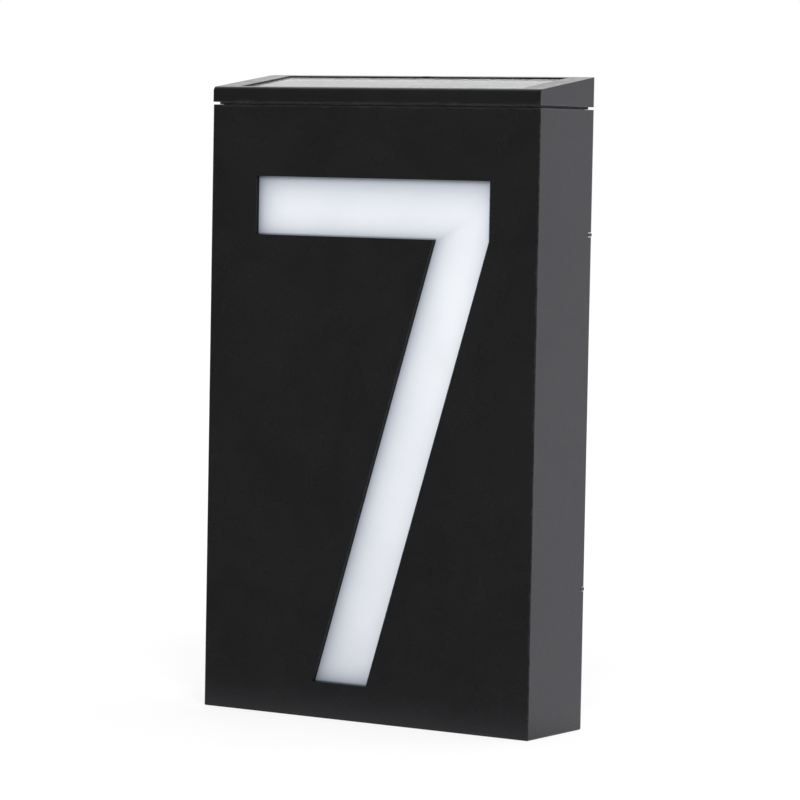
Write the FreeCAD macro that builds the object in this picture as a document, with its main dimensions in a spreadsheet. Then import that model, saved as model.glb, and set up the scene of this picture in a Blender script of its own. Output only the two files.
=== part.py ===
"""Solar house number light: a shallow box with the numeral cut through its front, a white
panel behind it, and a sloping solar head that lifts out of the top.

The frame: x runs across the front, y = 0 is the wall and the front faces -y, z runs up.
The origin is the middle of the rear cover's wall face. Millimetres throughout.
Pieces of the box are drawn from its underside, pieces of the head from the box's rim.
"""
import FreeCAD, Part
import math
import os
import re
import Sketcher

V = FreeCAD.Vector

# name: (value, what it is)
SIZES = {
    # the box
    "body_width": (120.0, "across the front"),
    "body_depth": (32.0, "wall to front"),
    "body_height": (190.0, "underside to rim"),
    "wall": (2.0, "side and bottom walls"),
    "front_wall": (2.0, "front wall"),
    "cover_wall": (2.0, "rear cover"),
    "back_radius": (1.0, "rounding of the edges next to the wall"),
    "edge_radius": (0.4, "rounding of the other outer edges"),
    "drain_radius": (1.5, "water drains in the underside"),
    "drain_spacing": (80.0, "between the two drains"),
    # the numeral, measured on the front face
    "numeral_left": (17.0, "numeral to the left side of the box"),
    "numeral_right": (17.2, "numeral to the right side of the box"),
    "numeral_foot": (11.2, "underside of the box to the numeral"),
    "numeral_head": (22.1, "rim of the box to the numeral"),
    "bar_height": (18.2, "height of the top stroke"),
    "stem_width": (19.9, "slanting stroke, measured level"),
    "stem_shift": (24.3, "left of the numeral to the stem's foot"),
    # the white panel and the light box behind it
    "diffuser_wall": (2.0, "panel behind the front"),
    "diffuser_lap": (3.0, "panel beyond the numeral on each side"),
    "light_gap": (0.6, "panel and light box to the tray above them"),
    "relief": (1.0, "numeral raised into the cut-out"),
    "relief_gap": (0.2, "raised numeral to the cut-out"),
    "relief_radius": (0.4, "rounding of the raised numeral"),
    "reflector_wall": (1.4, "light box walls"),
    "reflector_top": (7.2, "light box depth at its mouth"),
    "reflector_low": (5.0, "light box depth at its foot"),
    "ear_width": (8.0, "height of each fixing ear"),
    "ear_wall": (1.6, "thickness of each fixing ear"),
    "ear_low": (30.0, "height of the lower ears"),
    "ear_drop": (50.0, "rim to the upper ears"),
    "ear_screw_side": (8.0, "box side to the ear screws"),
    "boss_radius": (2.6, "bosses under the ears"),
    "boss_height": (6.0, "front wall to the boss tops"),
    # the rear cover
    "cover_gap": (0.2, "cover to the box walls"),
    "cover_seat": (1.2, "ledge that the cover rests on"),
    "cover_screw_side": (6.0, "box side to the cover screws"),
    "cover_screw_low": (8.0, "height of the lower cover screws"),
    "cover_screw_drop": (27.0, "rim to the upper cover screws"),
    "post_radius": (3.0, "posts for the cover screws"),
    "cover_rib": (1.2, "thickness of the cover's ribs"),
    "cover_rib_height": (3.0, "how far the ribs stand in"),
    "cover_rib_rows": (3.0, "level ribs"),
    "cover_rib_pitch": (35.0, "between the level ribs"),
    "cover_rib_foot": (20.0, "height of the lowest level rib"),
    "cover_rib_spacing": (44.0, "between the upright ribs"),
    "cover_rib_gap": (2.0, "level ribs to the screw posts"),
    "notch_low": (43.5, "height of the lower side notches"),
    "notch_drop": (38.0, "rim to the upper side notches"),
    "notch_height": (1.4, "notch opening"),
    "notch_depth": (2.5, "notch from the back edge"),
    "tab_gap": (0.2, "locating tab to its notch"),
    "tab_inset": (0.1, "tab end to the outer face"),
    "hang_spacing": (60.0, "between the two keyholes"),
    "hang_drop": (57.0, "rim to the keyhole entries"),
    "hang_entry": (4.5, "radius that the screw head passes"),
    "hang_slot": (2.25, "half width of the slot"),
    "hang_travel": (7.0, "entry centre to slot end centre"),
    "hang_pad": (1.0, "thickening behind the keyholes"),
    "hang_pad_side": (3.5, "thickening beyond the keyhole"),
    # the head
    "reveal": (0.8, "shadow gap between box and head"),
    "lid_front": (4.7, "head height at the front"),
    "lid_back": (9.2, "head height at the wall"),
    "lid_radius": (1.5, "rounding of the head's front edge"),
    "panel_side": (8.5, "rim at the panel's ends"),
    "panel_front": (2.5, "rim in front of the panel"),
    "panel_back": (2.0, "rim behind the panel"),
    "panel_recess": (0.5, "panel surface below the rim"),
    "rim_notch_width": (3.0, "notch in the back rim"),
    "rim_notch_depth": (1.2, "depth of that notch"),
    "lid_floor": (1.2, "floor under the panel"),
    "lid_core": (26.0, "hollow under the floor, wall to front"),
    "lead_hole": (2.0, "radius of the hole for the panel's leads"),
    # the solar panel, top to bottom
    "panel_gap": (0.3, "panel to its recess"),
    "glaze_wall": (1.0, "clear layer above the ribbons"),
    "ribbon_wall": (0.15, "tinned ribbons"),
    "ribbon_width": (1.4, "tinned ribbons"),
    "cell_wall": (0.25, "solar cells"),
    "cell_count": (4.0, "cells side by side"),
    "cell_gap": (1.0, "between cells"),
    "cell_border": (1.8, "clear edge around the cells"),
    "board_wall": (1.0, "backing board"),
    "tape_wall": (0.3, "adhesive under the board"),
    "tape_inset": (2.0, "adhesive inside the board's edge"),
    # the head's lower case
    "neck_gap": (0.3, "neck to the box walls"),
    "ledge_reach": (1.2, "ledges that carry the neck"),
    "ledge_width": (4.0, "width of each ledge"),
    "band_height": (4.0, "rim to the underside of the neck's band"),
    "tray_depth": (18.5, "rim to the tray's underside"),
    "tray_wall": (1.5, "tray walls"),
    "tray_floor": (1.6, "tray floor"),
    "seal_wall": (0.7, "foam seal under the head"),
    "seal_inset": (1.5, "seal inside the outer faces"),
    "head_screw_side": (6.6, "box side to the head screws"),
    "head_screw_seat": (5.0, "rim to the head screws' seats"),
    "head_screw_bite": (3.4, "head screw length in the frame"),
    "screw_post": (5.6, "square posts round the head screws"),
    # the battery and its bay
    "battery_radius": (7.25, "cell with its sleeve"),
    "battery_length": (50.5, "cell with its button"),
    "battery_gap": (0.5, "cell to the bay walls"),
    "battery_lift": (0.3, "cell to the door and the roof"),
    "button_radius": (2.75, "positive button"),
    "button_height": (1.0, "positive button"),
    "sleeve_edge": (0.6, "bevel at the sleeve's button end"),
    "spring_room": (5.7, "length of the loaded spring"),
    "spring_wire": (0.35, "radius of the spring wire"),
    "spring_turns": (2.5, "free turns"),
    "spring_wide": (4.6, "radius at the plate"),
    "spring_narrow": (2.6, "radius at the cell"),
    "contact_wall": (0.4, "contact plates"),
    "contact_side": (11.0, "contact plates, square"),
    "contact_tab": (3.0, "width of their solder tabs"),
    "contact_tab_rise": (1.8, "tabs above the bay's roof"),
    "contact_tab_off": (3.2, "left tab behind the right one"),
    "contact_tab_gap": (0.3, "tab to its slot in the roof"),
    "partition": (1.2, "wall between battery and lamps"),
    "bay_roof": (1.2, "roof of the battery bay"),
    "hinge_radius": (1.3, "barrel of the door"),
    "pin_radius": (0.6, "door pins"),
    "pin_gap": (0.06, "running clearance of the pins"),
    "pin_length": (1.2, "door pins"),
    "door_gap": (0.3, "door to the bay walls"),
    "latch_height": (1.5, "rib that holds the door's front"),
    "latch_width": (12.0, "rib that holds the door's front"),
    "scoop_radius": (4.0, "finger scoop in the door"),
    "scoop_depth": (0.7, "finger scoop in the door"),
    # lamps
    "lamp_count": (6.0, "lamps on the strip"),
    "lamp_inset": (4.85, "window's end to the middle of the end lamp"),
    "lamp_length": (3.5, "lamp, along the strip"),
    "lamp_width": (2.8, "lamp, across the strip"),
    "lamp_height": (1.9, "lamp"),
    "lamp_air": (0.6, "lamp to the window"),
    "strip_wall": (1.0, "lamp board"),
    "strip_gap": (0.75, "lamp board to the tray wall and the partition"),
    "window_gap": (0.2, "window to its slot"),
    "window_air": (0.3, "window flange to what stands beside it"),
    "window_lap": (0.8, "window flange beyond the slot"),
    "window_flange": (1.0, "window flange"),
    # circuit board and switch
    "circuit_wall": (1.6, "circuit board"),
    "circuit_gap": (0.7, "circuit board to the tray walls"),
    "circuit_margin": (1.6, "circuit board to front and back"),
    "rest_side": (4.4, "square posts under the boards"),
    "rest_inset": (3.0, "post centres inside the board edge"),
    "chip_side": (5.0, "charge chip"),
    "chip_height": (1.5, "charge chip"),
    "coil_radius": (3.5, "inductor"),
    "coil_height": (5.0, "inductor"),
    "coil_flange": (1.0, "flanges of the inductor's core"),
    "coil_waist": (2.45, "radius of the core between them"),
    "can_radius": (2.5, "capacitor"),
    "can_height": (6.0, "capacitor"),
    "can_edge": (0.4, "bevel of the capacitor's top"),
    "switch_length": (8.6, "switch body"),
    "switch_width": (4.4, "switch body"),
    "switch_height": (4.7, "switch body"),
    "switch_travel": (3.0, "off to on"),
    "stem_length": (2.4, "knob stem, along its travel"),
    "stem_depth": (2.0, "knob stem, across its travel"),
    "stem_reach": (1.6, "stem inside the switch body"),
    "stem_gap": (0.25, "stem to its slots"),
    "knob_length": (8.4, "knob, along its travel"),
    "knob_width": (5.0, "knob, across its travel"),
    "knob_height": (1.4, "knob under the tray"),
    "grip_count": (5.0, "grooves on the knob"),
    "knob_gap": (0.15, "knob to the tray's underside"),
    "grip_width": (0.6, "grooves on the knob, and the ribs between them"),
    # leads
    "lead_radius": (0.45, "wire with its insulation"),
    "lead_spacing": (1.8, "between the two wires of a pair"),
    "lead_inset": (1.2, "lead to the edge of the board it lands on"),
    "lead_bend": (0.45, "share of the shorter run that a bend takes"),
    "lead_rise": (4.0, "lamp leads above the circuit board"),
    "lead_gap": (0.15, "panel leads to the sloping board above them"),
    # screws
    "screw_radius": (1.1, "screws in the head and light box"),
    "screw_head": (1.9, "their heads"),
    "screw_head_height": (1.4, "their heads"),
    "cover_screw": (1.3, "rear cover screws"),
    "cover_screw_head": (2.5, "their heads"),
    "cover_screw_sink": (1.0, "their heads' depth in the cover"),
    "cover_screw_length": (10.0, "their length in the posts"),
    "screw_fit": (0.05, "screw to a hole it grips"),
    "screw_play": (0.2, "screw to a hole it passes"),
    "cross_width": (0.5, "driver cross in a screw head"),
    "cross_reach": (0.6, "driver cross, as a share of the head"),
}

UNDERSIDE = "-body_height / 2"
RIM = "body_height / 2"

# places that several pieces share
HALF = "body_width / 2"
INNER = f"({HALF} - wall)"
FRONT_BACK = "(front_wall - body_depth)"
DIFFUSER_BACK = f"({FRONT_BACK} + diffuser_wall)"
NUMERAL_RIGHT = f"({HALF} - numeral_right)"
NUMERAL_LEFT = f"(numeral_left - {HALF})"
NUMERAL_TOP = "(body_height - numeral_head)"
NECK = f"({INNER} - neck_gap)"
TRAY_SIDE = f"({NECK} - ledge_reach)"
TRAY_FRONT = f"({FRONT_BACK} + neck_gap)"
TRAY_BACK = "(-cover_wall - neck_gap)"
ROOM_SIDE = f"({TRAY_SIDE} - tray_wall)"
ROOM_FRONT = f"({TRAY_FRONT} + tray_wall)"
ROOM_BACK = f"({TRAY_BACK} - tray_wall)"
FLOOR = "(tray_floor - tray_depth)"
TRAY_TOP = "(reveal - seal_wall)"
HEAD_SCREW_X = f"({HALF} - head_screw_side)"
HEAD_SCREW_FRONT = f"({ROOM_FRONT} + screw_post / 2)"
HEAD_SCREW_BACK = f"({ROOM_BACK} - screw_post / 2)"
BAY_LEFT = f"(screw_post / 2 - {HEAD_SCREW_X} + pin_length + door_gap)"
BAY_RIGHT = f"({BAY_LEFT} + battery_length + spring_room + 2 * contact_wall)"
BAY_FRONT = f"({ROOM_BACK} - 2 * battery_radius - 2 * battery_gap)"
BATTERY_Y = f"({ROOM_BACK} - battery_radius - battery_gap)"
BATTERY_Z = f"({FLOOR} + battery_lift + battery_radius)"
BAY_CEILING = f"({BATTERY_Z} + battery_radius + battery_lift)"
BAY_TOP = f"({BAY_CEILING} + bay_roof)"
LEFT_TAB_Y = f"({BATTERY_Y} + contact_tab_off)"
HINGE_Y = f"({ROOM_BACK} - door_gap - hinge_radius)"
HINGE_Z = "(hinge_radius - tray_depth)"
LAMP_Y = f"(({ROOM_FRONT} + {BAY_FRONT} - partition) / 2)"
STRIP_LOW = f"({FLOOR} + window_flange + lamp_air + lamp_height)"
STRIP_TOP = f"({STRIP_LOW} + strip_wall)"
STRIP_DEEP = f"(({BAY_FRONT} - partition - {ROOM_FRONT}) / 2 - strip_gap)"
STRIP_HALF = f"({HEAD_SCREW_X} - screw_post / 2 - circuit_gap)"
STRIP_SCREW_X = f"({STRIP_HALF} - rest_inset)"
WINDOW_HALF = f"({STRIP_SCREW_X} - rest_side / 2 - window_air - window_lap)"
WINDOW_DEEP = f"(({BAY_FRONT} - partition - {ROOM_FRONT}) / 2 - window_air - window_lap)"
CIRCUIT_LEFT = f"({BAY_RIGHT} + tray_wall + circuit_gap)"
CIRCUIT_RIGHT = f"({HEAD_SCREW_X} - screw_post / 2 - circuit_gap)"
CIRCUIT_FRONT = f"({BAY_FRONT} + circuit_margin)"
CIRCUIT_BACK = f"({ROOM_BACK} - circuit_margin)"
CIRCUIT_LOW = f"({FLOOR} + stem_gap + switch_height)"
CIRCUIT_TOP = f"({CIRCUIT_LOW} + circuit_wall)"
CIRCUIT_MIDDLE = f"(({CIRCUIT_LEFT} + {CIRCUIT_RIGHT}) / 2)"
CIRCUIT_LINE = f"(({CIRCUIT_FRONT} + {CIRCUIT_BACK}) / 2)"
KNOB_OFF = f"({CIRCUIT_MIDDLE} - switch_travel / 2)"
COVER_SCREW_X = f"({HALF} - cover_screw_side)"
COVER_SCREW_HEIGHTS = ("cover_screw_low", "(body_height - cover_screw_drop)")
NOTCH_HEIGHTS = ("notch_low", "(body_height - notch_drop)")
HANG_HEIGHT = "(body_height - hang_drop)"
EAR_SCREW_X = f"({HALF} - ear_screw_side)"
EAR_HEIGHTS = ("ear_low", "(body_height - ear_drop)")
EAR_FRONT = f"({FRONT_BACK} + boss_height)"
EAR_BACK = f"({EAR_FRONT} + ear_wall)"
LIGHT_LEFT = f"({NUMERAL_LEFT} - diffuser_lap)"
LIGHT_RIGHT = f"({NUMERAL_RIGHT} + diffuser_lap)"
LIGHT_FOOT = "(numeral_foot - diffuser_lap)"
LIGHT_TOP = "(body_height - tray_depth - light_gap)"
PANEL_HALF = f"({HALF} - panel_side)"
PANEL_FRONT = "(panel_front - body_depth)"
GLAZE_DEEP = "(panel_recess + glaze_wall)"
CELL_TOP = f"({GLAZE_DEEP} + ribbon_wall)"
BOARD_TOP = f"({CELL_TOP} + cell_wall)"
TAPE_TOP = f"({BOARD_TOP} + board_wall)"
PANEL_SEAT = f"({TAPE_TOP} + tape_wall)"

SIDES = ("-1", "1")

document = FreeCAD.newDocument("house_number_light")
pieces = []


# ---- the sheet of sizes ----

def fill_sheet():
    sheet = document.addObject("Spreadsheet::Sheet", "sizes")
    for row, (name, (size, meaning)) in enumerate(SIZES.items(), start=1):
        sheet.set(f"A{row}", name)
        sheet.set(f"B{row}", str(size))
        sheet.setAlias(f"B{row}", name)
        sheet.set(f"C{row}", meaning)
    document.recompute()
    return sheet


sheet = fill_sheet()


def bound(formula):
    """A formula in plain size names, written as the document's expressions want it."""
    def cell(match):
        word = match.group()
        return f"sizes.{word}" if word in SIZES else word
    return re.sub(r"[a-z_]+", cell, formula)


def size(formula):
    return float(sheet.evalExpression(bound(formula)))


# ---- pieces, sketches and features ----

def new_piece(label, level, kind="PartDesign::Body", x="0", y="0"):
    piece = document.addObject(kind, label)
    piece.Label = label
    piece.setExpression("Placement.Base.x", bound(x))
    piece.setExpression("Placement.Base.y", bound(y))
    piece.setExpression("Placement.Base.z", bound(level))
    pieces.append(piece)
    return piece


def outline(*corners):
    """A closed outline of straight lines through the given corners."""
    def add(sketch):
        places = [V(size(across), size(up), 0) for across, up in corners]
        first = sketch.GeometryCount
        for start, end in zip(places, places[1:] + places[:1]):
            sketch.addGeometry(Part.LineSegment(start, end), False)
        for index, (across, up) in enumerate(corners):
            after = first + (index + 1) % len(corners)
            sketch.addConstraint(Sketcher.Constraint("Coincident", first + index, 2, after, 1))
            pin_point(sketch, first + index, 1, across, up)
    return add


def rectangle(left, low, right, high):
    return outline((left, low), (right, low), (right, high), (left, high))


def circle(across, up, radius):
    def add(sketch):
        centre = V(size(across), size(up), 0)
        index = sketch.addGeometry(Part.Circle(centre, V(0, 0, 1), size(radius)), False)
        pin_point(sketch, index, 3, across, up)
        number = sketch.addConstraint(Sketcher.Constraint("Radius", index, size(radius)))
        sketch.setExpression(f"Constraints[{number}]", bound(radius))
    return add


def square(across, up, side):
    half = f"({side}) / 2"
    return rectangle(f"{across} - {half}", f"{up} - {half}", f"{across} + {half}", f"{up} + {half}")


def eight_flats(across, up, radius):
    """Section of a hidden post, screw or hole: eight flats, their corners at the radius."""
    angles = [f"{45 * corner + 22.5} deg" for corner in range(8)]
    return outline(*[(f"{across} + ({radius}) * cos({angle})", f"{up} + ({radius}) * sin({angle})")
                     for angle in angles])


def pin_point(sketch, index, point, across, up):
    for kind, formula in (("DistanceX", across), ("DistanceY", up)):
        number = sketch.addConstraint(Sketcher.Constraint(kind, index, point, size(formula)))
        sketch.setExpression(f"Constraints[{number}]", bound(formula))


def draw(piece, name, plane, height, loops):
    sketch = piece.newObject("Sketcher::SketchObject", name + "_sketch")
    planes = {item.Role: item for item in piece.Origin.OriginFeatures}
    sketch.AttachmentSupport = [(planes[plane + "_Plane"], "")]
    sketch.MapMode = "FlatFace"
    sketch.setExpression("AttachmentOffset.Base.z", bound(height))
    for add in loops:
        add(sketch)
    sketch.Visibility = False
    return sketch


def extrude(piece, kind, name, plane, start, end, loops):
    """Add or cut the loops' area between two places on the axis across the plane.

    XY spans z, YZ spans x, and XZ spans y, whose sketches look along -y."""
    flipped = plane == "XZ"
    height = f"-({end})" if flipped else start
    sketch = draw(piece, name, plane, height, loops)
    before = piece.Shape.Volume if piece.Tip else 0.0
    feature = piece.newObject("PartDesign::" + kind, name)
    feature.Profile = (sketch, [""])
    feature.setExpression("Length", bound(f"({end}) - ({start})"))
    feature.Reversed = kind == "Pocket"
    document.recompute()
    change = piece.Shape.Volume - before
    if (change > 0) != (kind == "Pad") or abs(change) < 1e-6:
        raise ValueError(f"{piece.Label}: {name} changed nothing")
    return feature


def pad(piece, name, plane, start, end, *loops):
    return extrude(piece, "Pad", name, plane, start, end, loops)


def pocket(piece, name, plane, start, end, *loops):
    return extrude(piece, "Pocket", name, plane, start, end, loops)


def round_edges(piece, name, radius, *wanted):
    """Round the edges whose box lies in one of the wanted boxes, given as axis limits."""
    base = piece.Tip
    chosen = [f"Edge{number}" for number, edge in enumerate(base.Shape.Edges, start=1)
              if any(edge_within(edge, limits) for limits in wanted)]
    fillet = piece.newObject("PartDesign::Fillet", name)
    fillet.Base = (base, chosen)
    fillet.setExpression("Radius", bound(radius))
    document.recompute()
    return fillet


def edge_within(edge, limits):
    """True where the edge keeps to each named place, such as x=60, from end to end."""
    box = edge.BoundBox
    spans = {"x": (box.XMin, box.XMax), "y": (box.YMin, box.YMax), "z": (box.ZMin, box.ZMax)}
    near = 1e-4
    return all(abs(spans[axis][0] - place) < near and abs(spans[axis][1] - place) < near
               for axis, place in limits.items())


def mirrored_rectangles(near, low, far, high):
    """The same rectangle on the right and on the left."""
    return [rectangle(f"{side} * ({near})", low, f"{side} * ({far})", high) for side in SIDES]


def both_sides(loop, across, ups, radius):
    """The same loop on the right and on the left, at each of the given heights."""
    return [loop(f"{side} * ({across})", up, radius) for side in SIDES for up in ups]


def turn(piece, axis, *corners):
    """Spin a closed outline, drawn in the upright plane, round one of its sketch's axes."""
    sketch = draw(piece, "section", "XZ", "0", [outline(*corners)])
    feature = piece.newObject("PartDesign::Revolution", "turned")
    feature.Profile = (sketch, [""])
    feature.ReferenceAxis = (sketch, [axis])
    feature.Angle = 360
    document.recompute()


# ---- the box ----

def numeral(inset="0"):
    """The 7, drawn on the front; inset moves every stroke's edge inwards."""
    knee = f"({NUMERAL_TOP} - bar_height)"
    lean = (f"(({NUMERAL_RIGHT} - {NUMERAL_LEFT} - stem_width - stem_shift)"
            f" / ({knee} - numeral_foot))")
    right = f"({NUMERAL_RIGHT} - {inset})"
    left = f"({NUMERAL_LEFT} + {inset})"
    creep = f"({inset} * {lean})"
    foot_left = f"({NUMERAL_LEFT} + stem_shift + {creep})"
    inner = f"({NUMERAL_RIGHT} - stem_width + {creep} + {inset})"
    return outline(
        (left, f"{NUMERAL_TOP} - {inset}"),
        (left, f"{knee} + {inset}"),
        (inner, f"{knee} + {inset}"),
        (f"{foot_left} + {inset}", f"numeral_foot + {inset}"),
        (f"{foot_left} + stem_width - {inset}", f"numeral_foot + {inset}"),
        (right, knee),
        (right, f"{NUMERAL_TOP} - {inset}"),
    )


def make_housing():
    piece = new_piece("housing", UNDERSIDE)
    pad(piece, "block", "XY", "0", "body_height",
        rectangle(f"-{HALF}", "-body_depth", HALF, "0"))
    width, depth = size(HALF), size("body_depth")
    round_edges(piece, "front_edges", "edge_radius",
                {"x": width, "y": -depth}, {"x": -width, "y": -depth}, {"y": -depth, "z": 0},
                {"x": width, "z": 0}, {"x": -width, "z": 0})
    round_edges(piece, "back_edges", "back_radius",
                {"x": width, "y": 0}, {"x": -width, "y": 0}, {"y": 0, "z": 0})
    pocket(piece, "inside", "XY", "wall", "body_height",
           rectangle(f"-{INNER}", FRONT_BACK, INNER, "0"))
    pocket(piece, "numeral", "XZ", "-body_depth", FRONT_BACK, numeral())
    add_cover_seat(piece)
    add_cover_posts(piece)
    add_ear_bosses(piece)
    add_ledges(piece)
    for name, place in zip(("low_notches", "high_notches"), NOTCH_HEIGHTS):
        pocket(piece, name, "YZ", f"-{HALF}", HALF,
               rectangle("-notch_depth", f"{place} - notch_height / 2",
                         "0", f"{place} + notch_height / 2"))
    pocket(piece, "drains", "XY", "0", "wall",
           *both_sides(circle, "drain_spacing / 2", ["-body_depth / 2"], "drain_radius"))


def add_cover_seat(piece):
    """A ledge along the side walls and the bottom, for the rear cover to rest on."""
    seat = f"({INNER} - cover_seat)"
    top = "(body_height - tray_depth - cover_seat)"
    pad(piece, "cover_seat", "XZ", "-cover_wall - cover_seat", "-cover_wall",
        outline((f"-{INNER}", "wall"), (INNER, "wall"), (INNER, top), (seat, top),
                (seat, "wall + cover_seat"), (f"-{seat}", "wall + cover_seat"),
                (f"-{seat}", top), (f"-{INNER}", top)))


def add_cover_posts(piece):
    """Four posts from the front wall to the cover, each tied to its side wall by a web."""
    pad(piece, "cover_posts", "XZ", FRONT_BACK, "-cover_wall",
        *both_sides(eight_flats, COVER_SCREW_X, COVER_SCREW_HEIGHTS, "post_radius"))
    webs = []
    for place in COVER_SCREW_HEIGHTS:
        webs += mirrored_rectangles(COVER_SCREW_X, f"{place} - cover_rib / 2",
                                    f"{HALF} - wall / 2", f"{place} + cover_rib / 2")
    pad(piece, "post_webs", "XZ", FRONT_BACK, "-cover_wall - cover_seat", *webs)
    pocket(piece, "post_holes", "XZ", "-cover_wall - cover_screw_length - cover_seat",
           "-cover_wall", *both_sides(eight_flats, COVER_SCREW_X, COVER_SCREW_HEIGHTS,
                                      "cover_screw + screw_fit"))


def add_ear_bosses(piece):
    """Bosses on the front wall that carry the light box's ears."""
    pad(piece, "ear_bosses", "XZ", FRONT_BACK, EAR_FRONT,
        *both_sides(eight_flats, EAR_SCREW_X, EAR_HEIGHTS, "boss_radius"))
    pocket(piece, "ear_holes", "XZ", f"{FRONT_BACK} + ear_wall / 2", EAR_FRONT,
           *both_sides(eight_flats, EAR_SCREW_X, EAR_HEIGHTS, "screw_radius + screw_fit"))


def add_ledges(piece):
    """Ledges inside the side walls, whose tops carry the head's neck."""
    shapes = []
    for middle in (f"({TRAY_FRONT} + 2 * ledge_width)", f"({TRAY_BACK} - 2 * ledge_width)"):
        shapes += mirrored_rectangles(f"{INNER} - ledge_reach", f"{middle} - ledge_width / 2",
                                      f"{INNER} + wall / 2", f"{middle} + ledge_width / 2")
    pad(piece, "ledges", "XY", "body_height - tray_depth", "body_height - band_height", *shapes)


def make_diffuser():
    piece = new_piece("diffuser", UNDERSIDE)
    pad(piece, "plate", "XZ", FRONT_BACK, DIFFUSER_BACK,
        rectangle(LIGHT_LEFT, LIGHT_FOOT, LIGHT_RIGHT, LIGHT_TOP))
    pad(piece, "raised_numeral", "XZ", f"{FRONT_BACK} - relief", FRONT_BACK,
        numeral("relief_gap"))
    round_edges(piece, "numeral_edges", "relief_radius",
                {"y": size(f"{FRONT_BACK} - relief")})


def make_reflector():
    """A white light box, open to the panel in front and to the lamps above."""
    piece = new_piece("reflector", UNDERSIDE)
    pad(piece, "wedge", "YZ", LIGHT_LEFT, LIGHT_RIGHT,
        outline((DIFFUSER_BACK, LIGHT_FOOT), (f"{DIFFUSER_BACK} + reflector_low", LIGHT_FOOT),
                (f"{DIFFUSER_BACK} + reflector_top", LIGHT_TOP), (DIFFUSER_BACK, LIGHT_TOP)))
    floor = f"{LIGHT_FOOT} + reflector_wall"
    pocket(piece, "light_path", "YZ", f"{LIGHT_LEFT} + reflector_wall",
           f"{LIGHT_RIGHT} - reflector_wall",
           outline((DIFFUSER_BACK, floor),
                   (f"{DIFFUSER_BACK} + reflector_low - reflector_wall", floor),
                   (f"{DIFFUSER_BACK} + reflector_top - reflector_wall", LIGHT_TOP),
                   (DIFFUSER_BACK, LIGHT_TOP)))
    ears = []
    for place in EAR_HEIGHTS:
        low, high = f"{place} - ear_width / 2", f"{place} + ear_width / 2"
        reach = f"({EAR_SCREW_X} + ear_width / 2)"
        ears.append(rectangle(f"{LIGHT_RIGHT} - reflector_wall / 2", low, reach, high))
        ears.append(rectangle(f"-{reach}", low, f"{LIGHT_LEFT} + reflector_wall / 2", high))
    pad(piece, "ears", "XZ", EAR_FRONT, EAR_BACK, *ears)
    pocket(piece, "ear_holes", "XZ", EAR_FRONT, EAR_BACK,
           *both_sides(eight_flats, EAR_SCREW_X, EAR_HEIGHTS, "screw_radius + screw_play"))


def make_reflector_screws():
    piece = new_piece("reflector_screws", UNDERSIDE)
    spots = [(f"{side} * {EAR_SCREW_X}", place) for side in SIDES for place in EAR_HEIGHTS]
    add_screws(piece, "XZ", spots, "screw_radius", "screw_head",
               f"{FRONT_BACK} + ear_wall", EAR_BACK, f"{EAR_BACK} + screw_head_height",
               head_loop=eight_flats)


def add_screws(piece, plane, spots, shank, head, tip, seat, top, head_loop=circle):
    """Screws from tip to seat, with their heads from seat to top."""
    pad(piece, "shanks", plane, min(tip, seat, key=size), max(tip, seat, key=size),
        *[eight_flats(across, up, shank) for across, up in spots])
    pad(piece, "heads", plane, min(seat, top, key=size), max(seat, top, key=size),
        *[head_loop(across, up, head) for across, up in spots])


def cut_crosses(piece, plane, spots, head, seat, top):
    """A driver cross, half as deep as the head is high."""
    arm = f"({head} * cross_reach)"
    inner = f"({top} + {seat}) / 2"
    cut_low, cut_high = min(inner, top, key=size), max(inner, top, key=size)
    for name, half_across, half_up in (("slots", arm, "cross_width / 2"),
                                       ("cross_slots", "cross_width / 2", arm)):
        pocket(piece, name, plane, cut_low, cut_high,
               *[rectangle(f"{across} - {half_across}", f"{up} - {half_up}",
                           f"{across} + {half_across}", f"{up} + {half_up}")
                 for across, up in spots])


# ---- the rear cover ----

def make_rear_cover():
    piece = new_piece("rear_cover", UNDERSIDE)
    edge = f"({INNER} - cover_gap)"
    pad(piece, "plate", "XZ", "-cover_wall", "0",
        rectangle(f"-{edge}", "wall + cover_gap", edge, "body_height"))
    add_tabs(piece, edge)
    add_cover_ribs(piece)
    add_keyholes(piece)
    pocket(piece, "screw_holes", "XZ", "-cover_wall", "0",
           *both_sides(eight_flats, COVER_SCREW_X, COVER_SCREW_HEIGHTS,
                       "cover_screw + screw_play"))
    pocket(piece, "screw_sinks", "XZ", "-cover_screw_sink", "0",
           *both_sides(circle, COVER_SCREW_X, COVER_SCREW_HEIGHTS,
                       "cover_screw_head + screw_play"))


def add_tabs(piece, edge):
    """Tabs in the side notches, which locate the cover."""
    tabs = []
    half = "(notch_height / 2 - tab_gap)"
    for place in NOTCH_HEIGHTS:
        tabs += mirrored_rectangles(f"{edge} - wall / 2", f"{place} - {half}",
                                    f"{HALF} - tab_inset", f"{place} + {half}")
    pad(piece, "tabs", "XZ", "-cover_wall", "-tab_gap", *tabs)


def add_cover_ribs(piece):
    """Stiffening ribs, below the space that the open battery door needs."""
    low = "cover_rib_foot"
    deep = "-cover_wall - cover_rib_height"
    rows = [f"({low} + {row} * cover_rib_pitch)" for row in range(int(size("cover_rib_rows")))]
    reach = f"({COVER_SCREW_X} - post_radius - cover_rib_gap)"
    pad(piece, "level_ribs", "XZ", deep, "-cover_wall",
        *[rectangle(f"-{reach}", f"{row} - cover_rib / 2", reach, f"{row} + cover_rib / 2")
          for row in rows])
    pad(piece, "upright_ribs", "XZ", deep, "-cover_wall",
        *mirrored_rectangles("cover_rib_spacing / 2 - cover_rib / 2", rows[0],
                             "cover_rib_spacing / 2 + cover_rib / 2", rows[-1]))


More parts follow.
